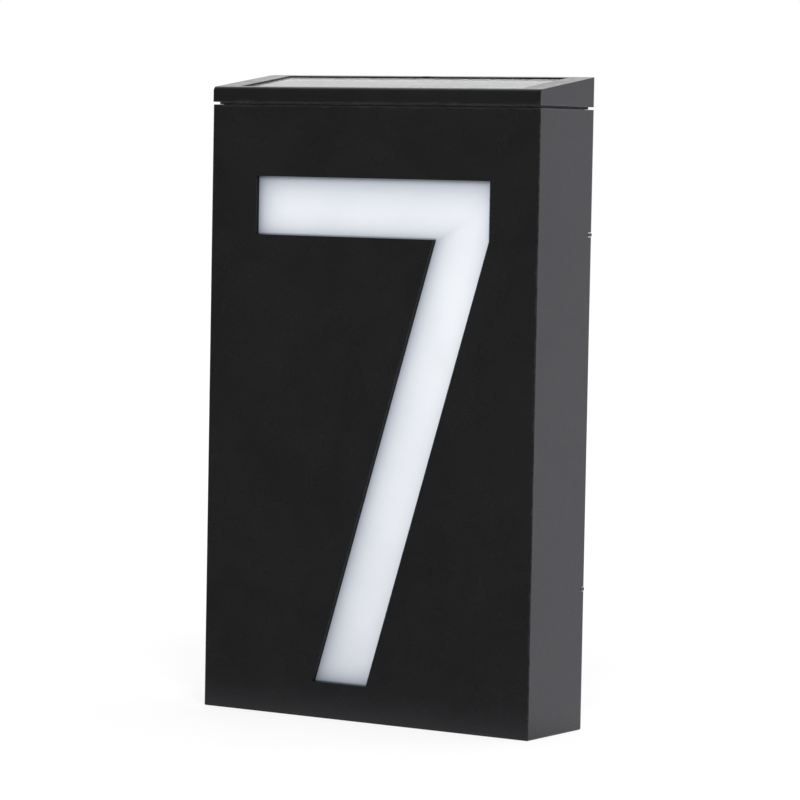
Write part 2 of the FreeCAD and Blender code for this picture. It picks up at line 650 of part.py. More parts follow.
def add_keyholes(piece):
    """Two keyholes to hang the light on wall screws, in a thickened strip."""
    centre = "hang_spacing / 2"
    side = "(hang_entry + hang_pad_side)"
    end = f"({HANG_HEIGHT} + hang_travel)"
    deep = "-cover_wall - hang_pad"
    pad(piece, "keyhole_pads", "XZ", deep, "-cover_wall",
        *mirrored_rectangles(f"{centre} - {side}", f"{HANG_HEIGHT} - {side}",
                             f"{centre} + {side}", f"{end} + {side} - hang_entry / 2"))
    pocket(piece, "keyhole_entries", "XZ", deep, "0",
           *both_sides(circle, centre, [HANG_HEIGHT], "hang_entry"))
    pocket(piece, "keyhole_slots", "XZ", deep, "0",
           *mirrored_rectangles(f"{centre} - hang_slot", HANG_HEIGHT,
                                f"{centre} + hang_slot", end))
    pocket(piece, "keyhole_ends", "XZ", deep, "0",
           *both_sides(circle, centre, [end], "hang_slot"))


def make_rear_cover_screws():
    piece = new_piece("rear_cover_screws", UNDERSIDE)
    spots = [(f"{side} * {COVER_SCREW_X}", place) for side in SIDES
             for place in COVER_SCREW_HEIGHTS]
    add_screws(piece, "XZ", spots, "cover_screw", "cover_screw_head",
               "-cover_wall - cover_screw_length", "-cover_screw_sink", "-screw_fit")
    cut_crosses(piece, "XZ", spots, "cover_screw_head", "-cover_screw_sink", "-screw_fit")


# ---- the head: frame and solar panel ----

def lid_top(across):
    """Height of the sloping top at a distance from the wall."""
    return f"(reveal + lid_front + (lid_back - lid_front) * ({across} + body_depth) / body_depth)"


def slope_slab(front, back, shallow, deep):
    """Side view of a layer parallel to the slope, between two depths below it."""
    return outline((front, f"{lid_top(front)} - {deep}"), (back, f"{lid_top(back)} - {deep}"),
                   (back, f"{lid_top(back)} - {shallow}"),
                   (front, f"{lid_top(front)} - {shallow}"))


def make_head_frame():
    piece = new_piece("head_frame", RIM)
    pad(piece, "wedge", "YZ", f"-{HALF}", HALF,
        outline(("-body_depth", "reveal"), ("0", "reveal"), ("0", "reveal + lid_back"),
                ("-body_depth", "reveal + lid_front")))
    width, depth = size(HALF), size("body_depth")
    round_edges(piece, "back_edges", "back_radius", {"x": width, "y": 0}, {"x": -width, "y": 0})
    round_edges(piece, "front_edge", "lid_radius", {"y": -depth, "z": size("reveal + lid_front")})
    pocket(piece, "panel_seat", "YZ", f"-{PANEL_HALF}", PANEL_HALF,
           slope_slab(PANEL_FRONT, "-panel_back", "-lid_back", PANEL_SEAT))
    floor = f"({PANEL_SEAT} + lid_floor)"
    front = "(-lid_core)"
    back = ROOM_BACK
    pocket(piece, "core", "YZ", f"tray_wall - {PANEL_HALF}", f"{PANEL_HALF} - tray_wall",
           outline((front, "reveal"), (back, "reveal"), (back, f"{lid_top(back)} - {floor}"),
                   (front, f"{lid_top(front)} - {floor}")))
    pocket(piece, "rim_notch", "XY", "reveal + lid_back - rim_notch_depth", "reveal + lid_back",
           rectangle("-rim_notch_width / 2", "-panel_back", "rim_notch_width / 2",
                     "-panel_back / 2"))
    pocket(piece, "lead_hole", "XY", "reveal", "reveal + lid_back",
           eight_flats(CIRCUIT_MIDDLE, BATTERY_Y, "lead_hole"))
    pocket(piece, "screw_holes", "XY", "reveal", "reveal + head_screw_bite + screw_play",
           *both_sides(eight_flats, HEAD_SCREW_X, [HEAD_SCREW_FRONT, HEAD_SCREW_BACK],
                       "screw_radius + screw_fit"))


def panel_layer(piece, name, inset, shallow, deep, half=PANEL_HALF):
    """One full layer of the panel, inset from the recess."""
    pad(piece, name, "YZ", f"{inset} - {half}", f"{half} - {inset}",
        slope_slab(f"({PANEL_FRONT} + {inset})", f"(-panel_back - {inset})", shallow, deep))


def make_panel_cover():
    """Clear layer, hollowed underneath for the cells and their ribbons."""
    piece = new_piece("panel_cover", RIM)
    panel_layer(piece, "layer", "panel_gap", "panel_recess", BOARD_TOP)
    border = "(panel_gap + cell_border)"
    pocket(piece, "cell_room", "YZ", f"{border} - {PANEL_HALF}", f"{PANEL_HALF} - {border}",
           slope_slab(f"({PANEL_FRONT} + {border})", f"(-panel_back - {border})",
                      GLAZE_DEEP, BOARD_TOP))


def make_solar_cells():
    piece = new_piece("solar_cells", RIM)
    border = "(panel_gap + cell_border + ribbon_wall)"
    pitch = f"((2 * ({PANEL_HALF} - {border}) + cell_gap) / cell_count)"
    front, back = f"({PANEL_FRONT} + {border})", f"(-panel_back - {border})"
    for number in range(int(size("cell_count"))):
        left = f"({border} - {PANEL_HALF} + {number} * {pitch})"
        pad(piece, f"cell_{number + 1}", "YZ", left, f"{left} + {pitch} - cell_gap",
            slope_slab(front, back, CELL_TOP, BOARD_TOP))


def make_cell_ribbons():
    """Two ribbons across all the cells, lying on their faces."""
    piece = new_piece("cell_ribbons", RIM)
    border = "(panel_gap + cell_border + ribbon_wall)"
    middle = f"(({PANEL_FRONT} - panel_back) / 2)"
    for name, sign in (("front_ribbon", "-"), ("back_ribbon", "+")):
        line = f"({middle} {sign} ({middle} - {PANEL_FRONT}) / 2)"
        pad(piece, name, "YZ", f"{border} - {PANEL_HALF}", f"{PANEL_HALF} - {border}",
            slope_slab(f"({line} - ribbon_width / 2)", f"({line} + ribbon_width / 2)",
                       GLAZE_DEEP, CELL_TOP))


def make_panel_board():
    piece = new_piece("panel_board", RIM)
    panel_layer(piece, "layer", "panel_gap", BOARD_TOP, TAPE_TOP)


def make_panel_tape():
    piece = new_piece("panel_tape", RIM)
    panel_layer(piece, "layer", "tape_inset", TAPE_TOP, PANEL_SEAT)
    pocket(piece, "lead_hole", "XY", "reveal", "reveal + lid_back",
           eight_flats(CIRCUIT_MIDDLE, BATTERY_Y, "lead_hole"))


def make_head_seal():
    """Flat foam ring under the frame, on the tray and lapping over the rim of the box."""
    piece = new_piece("head_seal", RIM)
    pad(piece, "ring", "XY", TRAY_TOP, "reveal",
        rectangle(f"seal_inset - {HALF}", "seal_inset - body_depth",
                  f"{HALF} - seal_inset", "-seal_inset"),
        rectangle(f"-{ROOM_SIDE}", ROOM_FRONT, ROOM_SIDE, ROOM_BACK))


# ---- the head: tray ----

def make_head_tray():
    piece = new_piece("head_tray", RIM)
    pad(piece, "band", "XY", "-band_height", TRAY_TOP,
        rectangle(f"-{NECK}", TRAY_FRONT, NECK, TRAY_BACK))
    pad(piece, "tub", "XY", "-tray_depth", "-band_height",
        rectangle(f"-{TRAY_SIDE}", TRAY_FRONT, TRAY_SIDE, TRAY_BACK))
    side, front, back, low = (size(name) for name in (TRAY_SIDE, TRAY_FRONT, TRAY_BACK,
                                                      "-tray_depth"))
    round_edges(piece, "tub_edges", "edge_radius", {"x": side, "z": low}, {"x": -side, "z": low},
                {"y": front, "z": low}, {"y": back, "z": low})
    pocket(piece, "room", "XY", FLOOR, TRAY_TOP,
           rectangle(f"-{ROOM_SIDE}", ROOM_FRONT, ROOM_SIDE, ROOM_BACK))
    add_screw_posts(piece)
    add_battery_bay(piece)
    add_lamp_seats(piece)
    add_circuit_seats(piece)


def add_screw_posts(piece):
    """A post in each corner, bored from below for a head screw."""
    inner = f"{HEAD_SCREW_X} - screw_post / 2"
    posts = []
    for middle in (HEAD_SCREW_FRONT, HEAD_SCREW_BACK):
        low, high = f"{middle} - screw_post / 2", f"{middle} + screw_post / 2"
        if middle == HEAD_SCREW_FRONT:
            low = f"{ROOM_FRONT} - tray_wall / 2"
        else:
            high = f"{ROOM_BACK} + tray_wall / 2"
        posts += mirrored_rectangles(inner, low, f"{ROOM_SIDE} + tray_wall / 2", high)
    pad(piece, "screw_posts", "XY", FLOOR, TRAY_TOP, *posts)
    lines = [HEAD_SCREW_FRONT, HEAD_SCREW_BACK]
    pocket(piece, "screw_holes", "XY", "-tray_depth", TRAY_TOP,
           *both_sides(eight_flats, HEAD_SCREW_X, lines, "screw_radius + screw_play"))
    pocket(piece, "screw_wells", "XY", "-tray_depth", "-head_screw_seat",
           *both_sides(circle, HEAD_SCREW_X, lines, "screw_head + screw_play"))


def add_battery_bay(piece):
    """A closed bay for the cell, open below where the door is."""
    pad(piece, "bay_block", "XY", FLOOR, BAY_TOP,
        rectangle(f"{BAY_LEFT} - tray_wall", f"{BAY_FRONT} - partition",
                  f"{BAY_RIGHT} + tray_wall", f"{ROOM_BACK} + tray_wall / 2"))
    pocket(piece, "bay", "XY", "-tray_depth", BAY_CEILING,
           rectangle(BAY_LEFT, BAY_FRONT, BAY_RIGHT, ROOM_BACK))
    hole = circle(HINGE_Y, HINGE_Z, "pin_radius + pin_gap")
    pocket(piece, "left_pin_hole", "YZ", f"{BAY_LEFT} - pin_length", BAY_LEFT, hole)
    pocket(piece, "right_pin_hole", "YZ", BAY_RIGHT, f"{BAY_RIGHT} + pin_length", hole)
    half = "(contact_tab / 2 + contact_tab_gap)"
    thick = "(contact_wall + contact_tab_gap)"
    pocket(piece, "tab_slots", "XY", BAY_CEILING, BAY_TOP,
           rectangle(BAY_LEFT, f"{LEFT_TAB_Y} - {half}",
                     f"{BAY_LEFT} + {thick}", f"{LEFT_TAB_Y} + {half}"),
           rectangle(f"{BAY_RIGHT} - {thick}", f"{BATTERY_Y} - {half}",
                     BAY_RIGHT, f"{BATTERY_Y} + {half}"))


def add_lamp_seats(piece):
    """The window slot, and a rest at each end for the lamp board."""
    pocket(piece, "window_slot", "XY", "-tray_depth", FLOOR,
           rectangle(f"-{WINDOW_HALF}", f"{LAMP_Y} - {WINDOW_DEEP}",
                     WINDOW_HALF, f"{LAMP_Y} + {WINDOW_DEEP}"))
    pad(piece, "strip_rests", "XY", FLOOR, STRIP_LOW,
        *both_sides(square, STRIP_SCREW_X, [LAMP_Y], "rest_side"))
    pocket(piece, "strip_holes", "XY", FLOOR, STRIP_LOW,
           *both_sides(eight_flats, STRIP_SCREW_X, [LAMP_Y], "screw_radius + screw_fit"))


def circuit_corners():
    """Two posts on a diagonal are screwed, the other two only support."""
    left, right = f"({CIRCUIT_LEFT} + rest_inset)", f"({CIRCUIT_RIGHT} - rest_inset)"
    front, back = f"({CIRCUIT_FRONT} + rest_inset)", f"({CIRCUIT_BACK} - rest_inset)"
    return [(left, front), (right, back)], [(left, back), (right, front)]


def add_circuit_seats(piece):
    screwed, plain = circuit_corners()
    pad(piece, "circuit_rests", "XY", FLOOR, CIRCUIT_LOW,
        *[square(across, up, "rest_side") for across, up in screwed + plain])
    pocket(piece, "circuit_holes", "XY", FLOOR, CIRCUIT_LOW,
           *[eight_flats(across, up, "screw_radius + screw_fit") for across, up in screwed])
    half = "(stem_length / 2 + switch_travel / 2 + stem_gap)"
    pocket(piece, "switch_slot", "XY", "-tray_depth", FLOOR,
           rectangle(f"{CIRCUIT_MIDDLE} - {half}", f"{CIRCUIT_LINE} - stem_depth / 2 - stem_gap",
                     f"{CIRCUIT_MIDDLE} + {half}", f"{CIRCUIT_LINE} + stem_depth / 2 + stem_gap"))


def make_head_screws():
    piece = new_piece("head_screws", RIM)
    spots = [(f"{side} * {HEAD_SCREW_X}", line) for side in SIDES
             for line in (HEAD_SCREW_FRONT, HEAD_SCREW_BACK)]
    top = "-head_screw_seat - screw_head_height"
    add_screws(piece, "XY", spots, "screw_radius", "screw_head",
               "reveal + head_screw_bite", "-head_screw_seat", top, head_loop=eight_flats)
    cut_crosses(piece, "XY", spots, "screw_head", "-head_screw_seat", top)


# ---- the head: battery, door and contacts ----

def make_battery_cell():
    """A sleeved cell on its side, button end to the right."""
    piece = new_piece("battery_cell", f"{RIM} + {BATTERY_Z}",
                      x=f"{BAY_RIGHT} - contact_wall - battery_length", y=BATTERY_Y)
    shoulder = "(battery_length - button_height)"
    edge = "(battery_radius - sleeve_edge)"
    turn(piece, "H_Axis", ("0", "0"), ("0", "battery_radius"),
         (f"{shoulder} - sleeve_edge", "battery_radius"), (shoulder, edge),
         (shoulder, "button_radius"), ("battery_length", "button_radius"), ("battery_length", "0"))


def make_battery_plate():
    """The flat contact at the button end, with its solder tab through the roof."""
    piece = new_piece("battery_plate", RIM)
    wall = (f"{BAY_RIGHT} - contact_wall", BAY_RIGHT)
    pad(piece, "plate", "YZ", *wall, square(BATTERY_Y, BATTERY_Z, "contact_side"))
    pad(piece, "tab", "YZ", *wall,
        rectangle(f"{BATTERY_Y} - contact_tab / 2", BATTERY_Z,
                  f"{BATTERY_Y} + contact_tab / 2", f"{BAY_TOP} + contact_tab_rise"))


def spring_path():
    """Half-turn biarcs along a cone, from the plate to the flat of the cell."""
    turns = size("spring_turns")
    wide, narrow = size("spring_wide"), size("spring_narrow")
    wire = size("spring_wire")
    length = size("spring_room") - 2 * wire
    steps = int(round(turns * 2))

    def place(step):
        share = step / steps
        angle = 2 * math.pi * turns * share
        radius = wide + (narrow - wide) * share
        spot = V(wire + length * share, radius * math.cos(angle), radius * math.sin(angle))
        slope = (narrow - wide) / (2 * math.pi * turns)
        heading = V(length / (2 * math.pi * turns),
                    slope * math.cos(angle) - radius * math.sin(angle),
                    slope * math.sin(angle) + radius * math.cos(angle))
        return spot, heading.normalize()

    edges = []
    for step in range(steps):
        edges += biarc(*place(step), *place(step + 1))
    return Part.Wire(edges), place(0)


def biarc(start, leaving, end, arriving):
    """Two arcs that meet smoothly and keep to the headings at both ends."""
    chord = end - start
    both = leaving + arriving
    bend = 2 * (1 - leaving.dot(arriving))
    reach = (-chord.dot(both) + math.sqrt(chord.dot(both) ** 2 + bend * chord.dot(chord))) / bend
    corner_in, corner_out = start + leaving * reach, end - arriving * reach
    joint = (corner_in + corner_out) * 0.5
    return [arc_through(start, corner_in, joint), arc_through(joint, corner_out, end)]


def arc_through(start, corner, end):
    """The arc from start to end whose tangents meet at the corner."""
    half_chord = (end - start) * 0.5
    middle = start + half_chord
    rise = corner - middle
    angle = math.atan2(rise.Length, half_chord.Length)
    top = middle + rise.normalize() * (half_chord.Length * math.tan(angle / 2))
    return Part.Arc(start, top, end).toShape()


def wire_section(spot, heading, radius):
    """A wire's section, six flats square to its heading."""
    facing = FreeCAD.Rotation(V(0, 0, 1), heading)
    corners = []
    for side in range(6):
        angle = side * math.pi / 3
        corners.append(spot + facing.multVec(V(math.cos(angle), math.sin(angle), 0)) * radius)
    return Part.makePolygon(corners + corners[:1])


def make_battery_spring():
    """The sprung contact: a tabbed plate and a coil that narrows towards the cell."""
    piece = new_piece("battery_spring", RIM, kind="Part::Feature")
    path, (spot, heading) = spring_path()
    coil = path.makePipeShell([wire_section(spot, heading, size("spring_wire"))], True, False)
    side, thick, wire = size("contact_side"), size("contact_wall"), size("spring_wire")
    plate = Part.makeBox(thick, side, side, V(-thick, -side / 2, -side / 2))
    width = size("contact_tab")
    tab = Part.makeBox(thick, width, size(f"{BAY_TOP} + contact_tab_rise - {BATTERY_Z}"),
                       V(-thick, size("contact_tab_off") - width / 2, 0))
    foot = Part.makeBox(spot.x + thick, 2 * wire, 2 * wire, V(-thick, spot.y - wire, -wire))
    piece.Shape = coil.fuse([plate, tab, foot]).removeSplitter()
    piece.setExpression("Placement.Base.x", bound(f"{BAY_LEFT} + contact_wall"))
    piece.setExpression("Placement.Base.y", bound(BATTERY_Y))
    piece.setExpression("Placement.Base.z", bound(f"{RIM} + {BATTERY_Z}"))


def make_battery_door():
    """A flap under the bay that swings down on two pins at its back edge."""
    piece = new_piece("battery_door", RIM)
    left, right = f"({BAY_LEFT} + door_gap)", f"({BAY_RIGHT} - door_gap)"
    front = f"({BAY_FRONT} + door_gap)"
    middle = f"(({BAY_LEFT} + {BAY_RIGHT}) / 2)"
    pad(piece, "flap", "XY", "-tray_depth", FLOOR, rectangle(left, front, right, HINGE_Y))
    pad(piece, "barrel", "YZ", left, right, circle(HINGE_Y, HINGE_Z, "hinge_radius"))
    pad(piece, "pins", "YZ", f"{left} - pin_length", f"{right} + pin_length",
        circle(HINGE_Y, HINGE_Z, "pin_radius"))
    pad(piece, "latch", "XY", FLOOR, f"{FLOOR} + latch_height",
        rectangle(f"{middle} - latch_width / 2", f"{front} + door_gap",
                  f"{middle} + latch_width / 2", f"{front} + door_gap + tray_wall / 2"))
    pocket(piece, "scoop", "XY", "-tray_depth", "scoop_depth - tray_depth",
           circle(middle, front, "scoop_radius"))


# ---- the head: lamps ----

def make_led_window():
    piece = new_piece("led_window", RIM)
    half, deep = f"({WINDOW_HALF} - window_gap)", f"({WINDOW_DEEP} - window_gap)"
    pad(piece, "plug", "XY", "-tray_depth", FLOOR,
        rectangle(f"-{half}", f"{LAMP_Y} - {deep}", half, f"{LAMP_Y} + {deep}"))
    half, deep = f"({WINDOW_HALF} + window_lap)", f"({WINDOW_DEEP} + window_lap)"
    pad(piece, "flange", "XY", FLOOR, f"{FLOOR} + window_flange",
        rectangle(f"-{half}", f"{LAMP_Y} - {deep}", half, f"{LAMP_Y} + {deep}"))


def make_led_board():
    piece = new_piece("led_board", RIM)
    pad(piece, "board", "XY", STRIP_LOW, STRIP_TOP,
        rectangle(f"-{STRIP_HALF}", f"{LAMP_Y} - {STRIP_DEEP}",
                  STRIP_HALF, f"{LAMP_Y} + {STRIP_DEEP}"))
    pocket(piece, "holes", "XY", STRIP_LOW, STRIP_TOP,
           *both_sides(eight_flats, STRIP_SCREW_X, [LAMP_Y], "screw_radius + screw_play"))


def make_led_board_screws():
    piece = new_piece("led_board_screws", RIM)
    add_screws(piece, "XY", [(f"{side} * {STRIP_SCREW_X}", LAMP_Y) for side in SIDES],
               "screw_radius", "screw_head", f"{FLOOR} + screw_fit", STRIP_TOP,
               f"{STRIP_TOP} + screw_head_height", head_loop=eight_flats)


def make_leds():
    piece = new_piece("leds", RIM)
    pitch = f"(2 * ({WINDOW_HALF} - lamp_inset) / (lamp_count - 1))"
    for number in range(int(size("lamp_count"))):
        middle = f"(({number} - (lamp_count - 1) / 2) * {pitch})"
        pad(piece, f"lamp_{number + 1}", "XY", f"{STRIP_LOW} - lamp_height", STRIP_LOW,
            rectangle(f"{middle} - lamp_length / 2", f"{LAMP_Y} - lamp_width / 2",
                      f"{middle} + lamp_length / 2", f"{LAMP_Y} + lamp_width / 2"))


# ---- the head: circuit board and switch ----

def make_circuit_board():
    piece = new_piece("circuit_board", RIM)
    pad(piece, "board", "XY", CIRCUIT_LOW, CIRCUIT_TOP,
        rectangle(CIRCUIT_LEFT, CIRCUIT_FRONT, CIRCUIT_RIGHT, CIRCUIT_BACK))
    screwed, plain = circuit_corners()
    pocket(piece, "holes", "XY", CIRCUIT_LOW, CIRCUIT_TOP,
           *[eight_flats(across, up, "screw_radius + screw_play") for across, up in screwed])


def make_circuit_board_screws():
    piece = new_piece("circuit_board_screws", RIM)
    screwed, plain = circuit_corners()
    add_screws(piece, "XY", screwed, "screw_radius", "screw_head", f"{FLOOR} + screw_fit",
               CIRCUIT_TOP, f"{CIRCUIT_TOP} + screw_head_height", head_loop=eight_flats)


def make_charge_chip():
    piece = new_piece("charge_chip", RIM)
    pad(piece, "package", "XY", CIRCUIT_TOP, f"{CIRCUIT_TOP} + chip_height",
        square(CIRCUIT_MIDDLE, CIRCUIT_LINE, "chip_side"))


def make_inductor():
    """A drum core whose winding space lies between two flanges."""
    piece = new_piece("inductor", f"{RIM} + {CIRCUIT_TOP}", y=CIRCUIT_LINE,
                      x=f"{CIRCUIT_MIDDLE} - chip_side / 2 - coil_radius - circuit_gap")
    top = "coil_height - coil_flange"
    turn(piece, "V_Axis", ("0", "0"), ("coil_radius", "0"), ("coil_radius", "coil_flange"),
         ("coil_waist", "coil_flange"), ("coil_waist", top), ("coil_radius", top),
         ("coil_radius", "coil_height"), ("0", "coil_height"))


def make_capacitor():
    piece = new_piece("capacitor", f"{RIM} + {CIRCUIT_TOP}", y=CIRCUIT_LINE,
                      x=f"{CIRCUIT_MIDDLE} + chip_side / 2 + can_radius + circuit_gap")
    turn(piece, "V_Axis", ("0", "0"), ("can_radius", "0"), ("can_radius", "can_height - can_edge"),
         ("can_radius - can_edge", "can_height"), ("0", "can_height"))


def make_switch_body():
    piece = new_piece("switch_body", RIM)
    low = f"({CIRCUIT_LOW} - switch_height)"
    pad(piece, "case", "XY", low, CIRCUIT_LOW,
        rectangle(f"{CIRCUIT_MIDDLE} - switch_length / 2", f"{CIRCUIT_LINE} - switch_width / 2",
                  f"{CIRCUIT_MIDDLE} + switch_length / 2", f"{CIRCUIT_LINE} + switch_width / 2"))
    half = "(stem_length / 2 + switch_travel / 2 + stem_gap)"
    pocket(piece, "slot", "XY", low, f"{low} + stem_reach + stem_gap",
           rectangle(f"{CIRCUIT_MIDDLE} - {half}", f"{CIRCUIT_LINE} - stem_depth / 2 - stem_gap",
                     f"{CIRCUIT_MIDDLE} + {half}", f"{CIRCUIT_LINE} + stem_depth / 2 + stem_gap"))


def make_switch_knob():
    """Drawn in its off place; on is one travel to the right."""
    piece = new_piece("switch_knob", RIM)
    top = f"({CIRCUIT_LOW} - switch_height + stem_reach)"
    cap_top = "(-tray_depth - knob_gap)"
    cap_low = f"({cap_top} - knob_height)"
    pad(piece, "stem", "XY", cap_top, top,
        rectangle(f"{KNOB_OFF} - stem_length / 2", f"{CIRCUIT_LINE} - stem_depth / 2",
                  f"{KNOB_OFF} + stem_length / 2", f"{CIRCUIT_LINE} + stem_depth / 2"))
    pad(piece, "cap", "XY", cap_low, cap_top,
        rectangle(f"{KNOB_OFF} - knob_length / 2", f"{CIRCUIT_LINE} - knob_width / 2",
                  f"{KNOB_OFF} + knob_length / 2", f"{CIRCUIT_LINE} + knob_width / 2"))
    grooves = []
    for number in range(int(size("grip_count"))):
        middle = f"({KNOB_OFF} + ({number} - (grip_count - 1) / 2) * 2 * grip_width)"
        grooves.append(rectangle(f"{middle} - grip_width / 2", f"{CIRCUIT_LINE} - knob_width / 2",
                                 f"{middle} + grip_width / 2", f"{CIRCUIT_LINE} + knob_width / 2"))
    pocket(piece, "grip", "XY", cap_low, f"{cap_low} + grip_width", *grooves)


# ---- the head: leads ----

def lead(*stops):
    """A wire whose straight runs are joined by arcs, each as large as its runs allow."""
    spots = [V(*(size(place) for place in stop)) for stop in stops]
    edges = []
    start = spots[0]
    for before, corner, after in zip(spots, spots[1:], spots[2:]):
        reach = size("lead_bend") * min((corner - before).Length, (after - corner).Length)
        leaving = corner + (before - corner).normalize() * reach
        arriving = corner + (after - corner).normalize() * reach
        edges.append(Part.LineSegment(start, leaving).toShape())
        edges.append(arc_through(leaving, corner, arriving))
        start = arriving
    edges.append(Part.LineSegment(start, spots[-1]).toShape())
    ring = wire_section(spots[0], spots[1] - spots[0], size("lead_radius"))
    return Part.Wire(edges).makePipeShell([ring], True, False)


def new_leads(label, *wires):
    piece = new_piece(label, RIM, kind="Part::Feature")
    piece.Shape = Part.makeCompound(list(wires))
    piece.setExpression("Placement.Base.z", bound(RIM))


def make_panel_leads():
    """Down from the panel's board through the frame, and forward past the chip."""
    top = f"({lid_top(BATTERY_Y)} - {TAPE_TOP} - lead_gap)"
    middle = f"(({top} + {CIRCUIT_TOP}) / 2)"
    landing = f"({CIRCUIT_FRONT} + lead_inset)"
    wires = []
    for side in SIDES:
        across = f"({CIRCUIT_MIDDLE} + {side} * lead_spacing / 2)"
        wires.append(lead((across, BATTERY_Y, top), (across, BATTERY_Y, middle),
                          (across, landing, middle), (across, landing, CIRCUIT_TOP)))
    new_leads("panel_leads", *wires)


def make_battery_leads():
    """From the solder tabs over the bay's roof, and down to the circuit board."""
    level = f"({BAY_TOP} + contact_tab_rise / 2)"
    across = f"({CIRCUIT_LEFT} + 2 * lead_inset)"
    wires = []
    for start, line in ((f"({BAY_LEFT} + contact_wall)", LEFT_TAB_Y), (BAY_RIGHT, BATTERY_Y)):
        wires.append(lead((start, line, level), (across, line, level), (across, line, CIRCUIT_TOP)))
    new_leads("battery_leads", *wires)


def make_lamp_leads():
    """A short bridge from the circuit board to the lamp board."""
    level = f"({CIRCUIT_TOP} + lead_rise)"
    rear, front = f"({CIRCUIT_FRONT} + lead_inset)", f"({LAMP_Y} + {STRIP_DEEP} - lead_inset)"
    wires = []
    for side in SIDES:
        across = f"({CIRCUIT_MIDDLE} + chip_side + {side} * lead_spacing / 2)"
        wires.append(lead((across, rear, CIRCUIT_TOP), (across, rear, level),
                          (across, front, level), (across, front, STRIP_TOP)))
    new_leads("lamp_leads", *wires)


# ---- checks and files ----

def check_pieces():
    for item in document.Objects:
        if {"Invalid", "Error"} & set(item.State):
            raise ValueError(f"{item.Label} did not compute: {item.State}")
    for piece in pieces:
        if piece.Shape.isNull() or not piece.Shape.isValid():
            raise ValueError(f"{piece.Label} has no valid shape")


def write_pieces():
    os.makedirs("parts", exist_ok=True)
    for piece in pieces:
        piece.Shape.exportStep(f"parts/{piece.Label}.step")


make_housing()
make_diffuser()
make_reflector()
make_reflector_screws()
make_rear_cover()
make_rear_cover_screws()
make_head_frame()
make_panel_cover()
make_solar_cells()
make_cell_ribbons()
make_panel_board()
make_panel_tape()
make_head_seal()
make_head_tray()
make_head_screws()
make_battery_cell()
make_battery_plate()
make_battery_spring()
make_battery_door()
make_led_window()
make_led_board()
make_led_board_screws()
make_leds()
make_circuit_board()
make_circuit_board_screws()
make_charge_chip()
make_inductor()
make_capacitor()
make_switch_body()
make_switch_knob()
make_panel_leads()
make_battery_leads()
make_lamp_leads()
document.recompute()
check_pieces()
write_pieces()
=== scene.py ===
import math
import random
from collections import namedtuple

import bmesh
import bpy
from mathutils import Matrix, Vector


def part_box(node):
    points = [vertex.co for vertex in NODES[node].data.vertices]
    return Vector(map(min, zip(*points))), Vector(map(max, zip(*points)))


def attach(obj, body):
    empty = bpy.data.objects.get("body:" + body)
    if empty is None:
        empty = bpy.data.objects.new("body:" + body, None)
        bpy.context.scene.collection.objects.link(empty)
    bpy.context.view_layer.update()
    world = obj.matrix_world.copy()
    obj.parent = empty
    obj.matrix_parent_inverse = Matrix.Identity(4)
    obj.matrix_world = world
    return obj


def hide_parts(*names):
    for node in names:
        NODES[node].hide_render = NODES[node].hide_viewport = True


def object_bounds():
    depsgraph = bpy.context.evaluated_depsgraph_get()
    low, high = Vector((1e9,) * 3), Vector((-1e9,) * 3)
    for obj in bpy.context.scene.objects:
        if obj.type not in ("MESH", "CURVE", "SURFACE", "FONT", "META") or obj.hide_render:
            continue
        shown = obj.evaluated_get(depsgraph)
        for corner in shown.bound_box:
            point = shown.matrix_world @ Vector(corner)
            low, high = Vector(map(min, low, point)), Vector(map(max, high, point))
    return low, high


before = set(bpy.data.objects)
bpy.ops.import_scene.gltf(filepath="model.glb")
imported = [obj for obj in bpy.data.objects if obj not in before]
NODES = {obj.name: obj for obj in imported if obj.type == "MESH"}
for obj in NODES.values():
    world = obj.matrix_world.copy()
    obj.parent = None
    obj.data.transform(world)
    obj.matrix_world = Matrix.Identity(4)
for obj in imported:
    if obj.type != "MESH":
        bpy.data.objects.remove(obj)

cad_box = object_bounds()
SCENE = bpy.context.scene
MM = 0.001


# ---- shader helpers ----

def join(tree, socket, value):
    """Link an output to the socket, or set the socket's own value."""
    if isinstance(value, bpy.types.NodeSocket):
        tree.links.new(value, socket)
    else:
        socket.default_value = value


def add_node(tree, kind, *values, out=0, **settings):
    """Add a shader node, fill its first inputs in order and return one of its outputs."""
    node = tree.nodes.new("ShaderNode" + kind)
    for name, value in settings.items():
        setattr(node, name, value)
    for socket, value in zip(node.inputs, values):
        if value is not None:
            join(tree, socket, value)
    return node.outputs[out]


def maths(tree, operation, *values, clamp=False):
    return add_node(tree, "Math", *values, operation=operation, use_clamp=clamp)


def less(tree, value, taken):
    return maths(tree, "SUBTRACT", value, taken)


def product(tree, *values):
    total = values[0]
    for value in values[1:]:
        total = maths(tree, "MULTIPLY", total, value)
    return total


def stretch(tree, value, low, high, first=0.0, last=1.0, smooth=True):
    """Map low..high onto first..last, held at both ends."""
    kind = "SMOOTHSTEP" if smooth else "LINEAR"
    return add_node(tree, "MapRange", value, low, high, first, last, interpolation_type=kind)


def mix_colours(tree, share, first, second):
    return add_node(tree, "Mix", share, *[None] * 5, first, second, out=2, data_type="RGBA")


def noise(tree, place, scale, detail=2.0, roughness=0.5, distortion=0.0):
    return add_node(tree, "TexNoise", place, None, scale, detail, roughness, *[None] * 3, distortion)


def cell_pattern(tree, place, scale, scatter=1.0, out=0, **settings):
    """Scattered cells: the distance from each one's middle, or out=1 for a colour of its own."""
    return add_node(tree, "TexVoronoi", place, None, scale, *[None] * 5, scatter, out=out,
                    **settings)


def patches(tree, place, pattern, between=(0.3, 0.7), levels=(0.0, 1.0)):
    """Noise of a scale, detail and so on, stretched so that it lies in patches of two levels."""
    return stretch(tree, noise(tree, place, *pattern), *between, *levels)


def object_place(tree):
    return add_node(tree, "TexCoord", out=3)


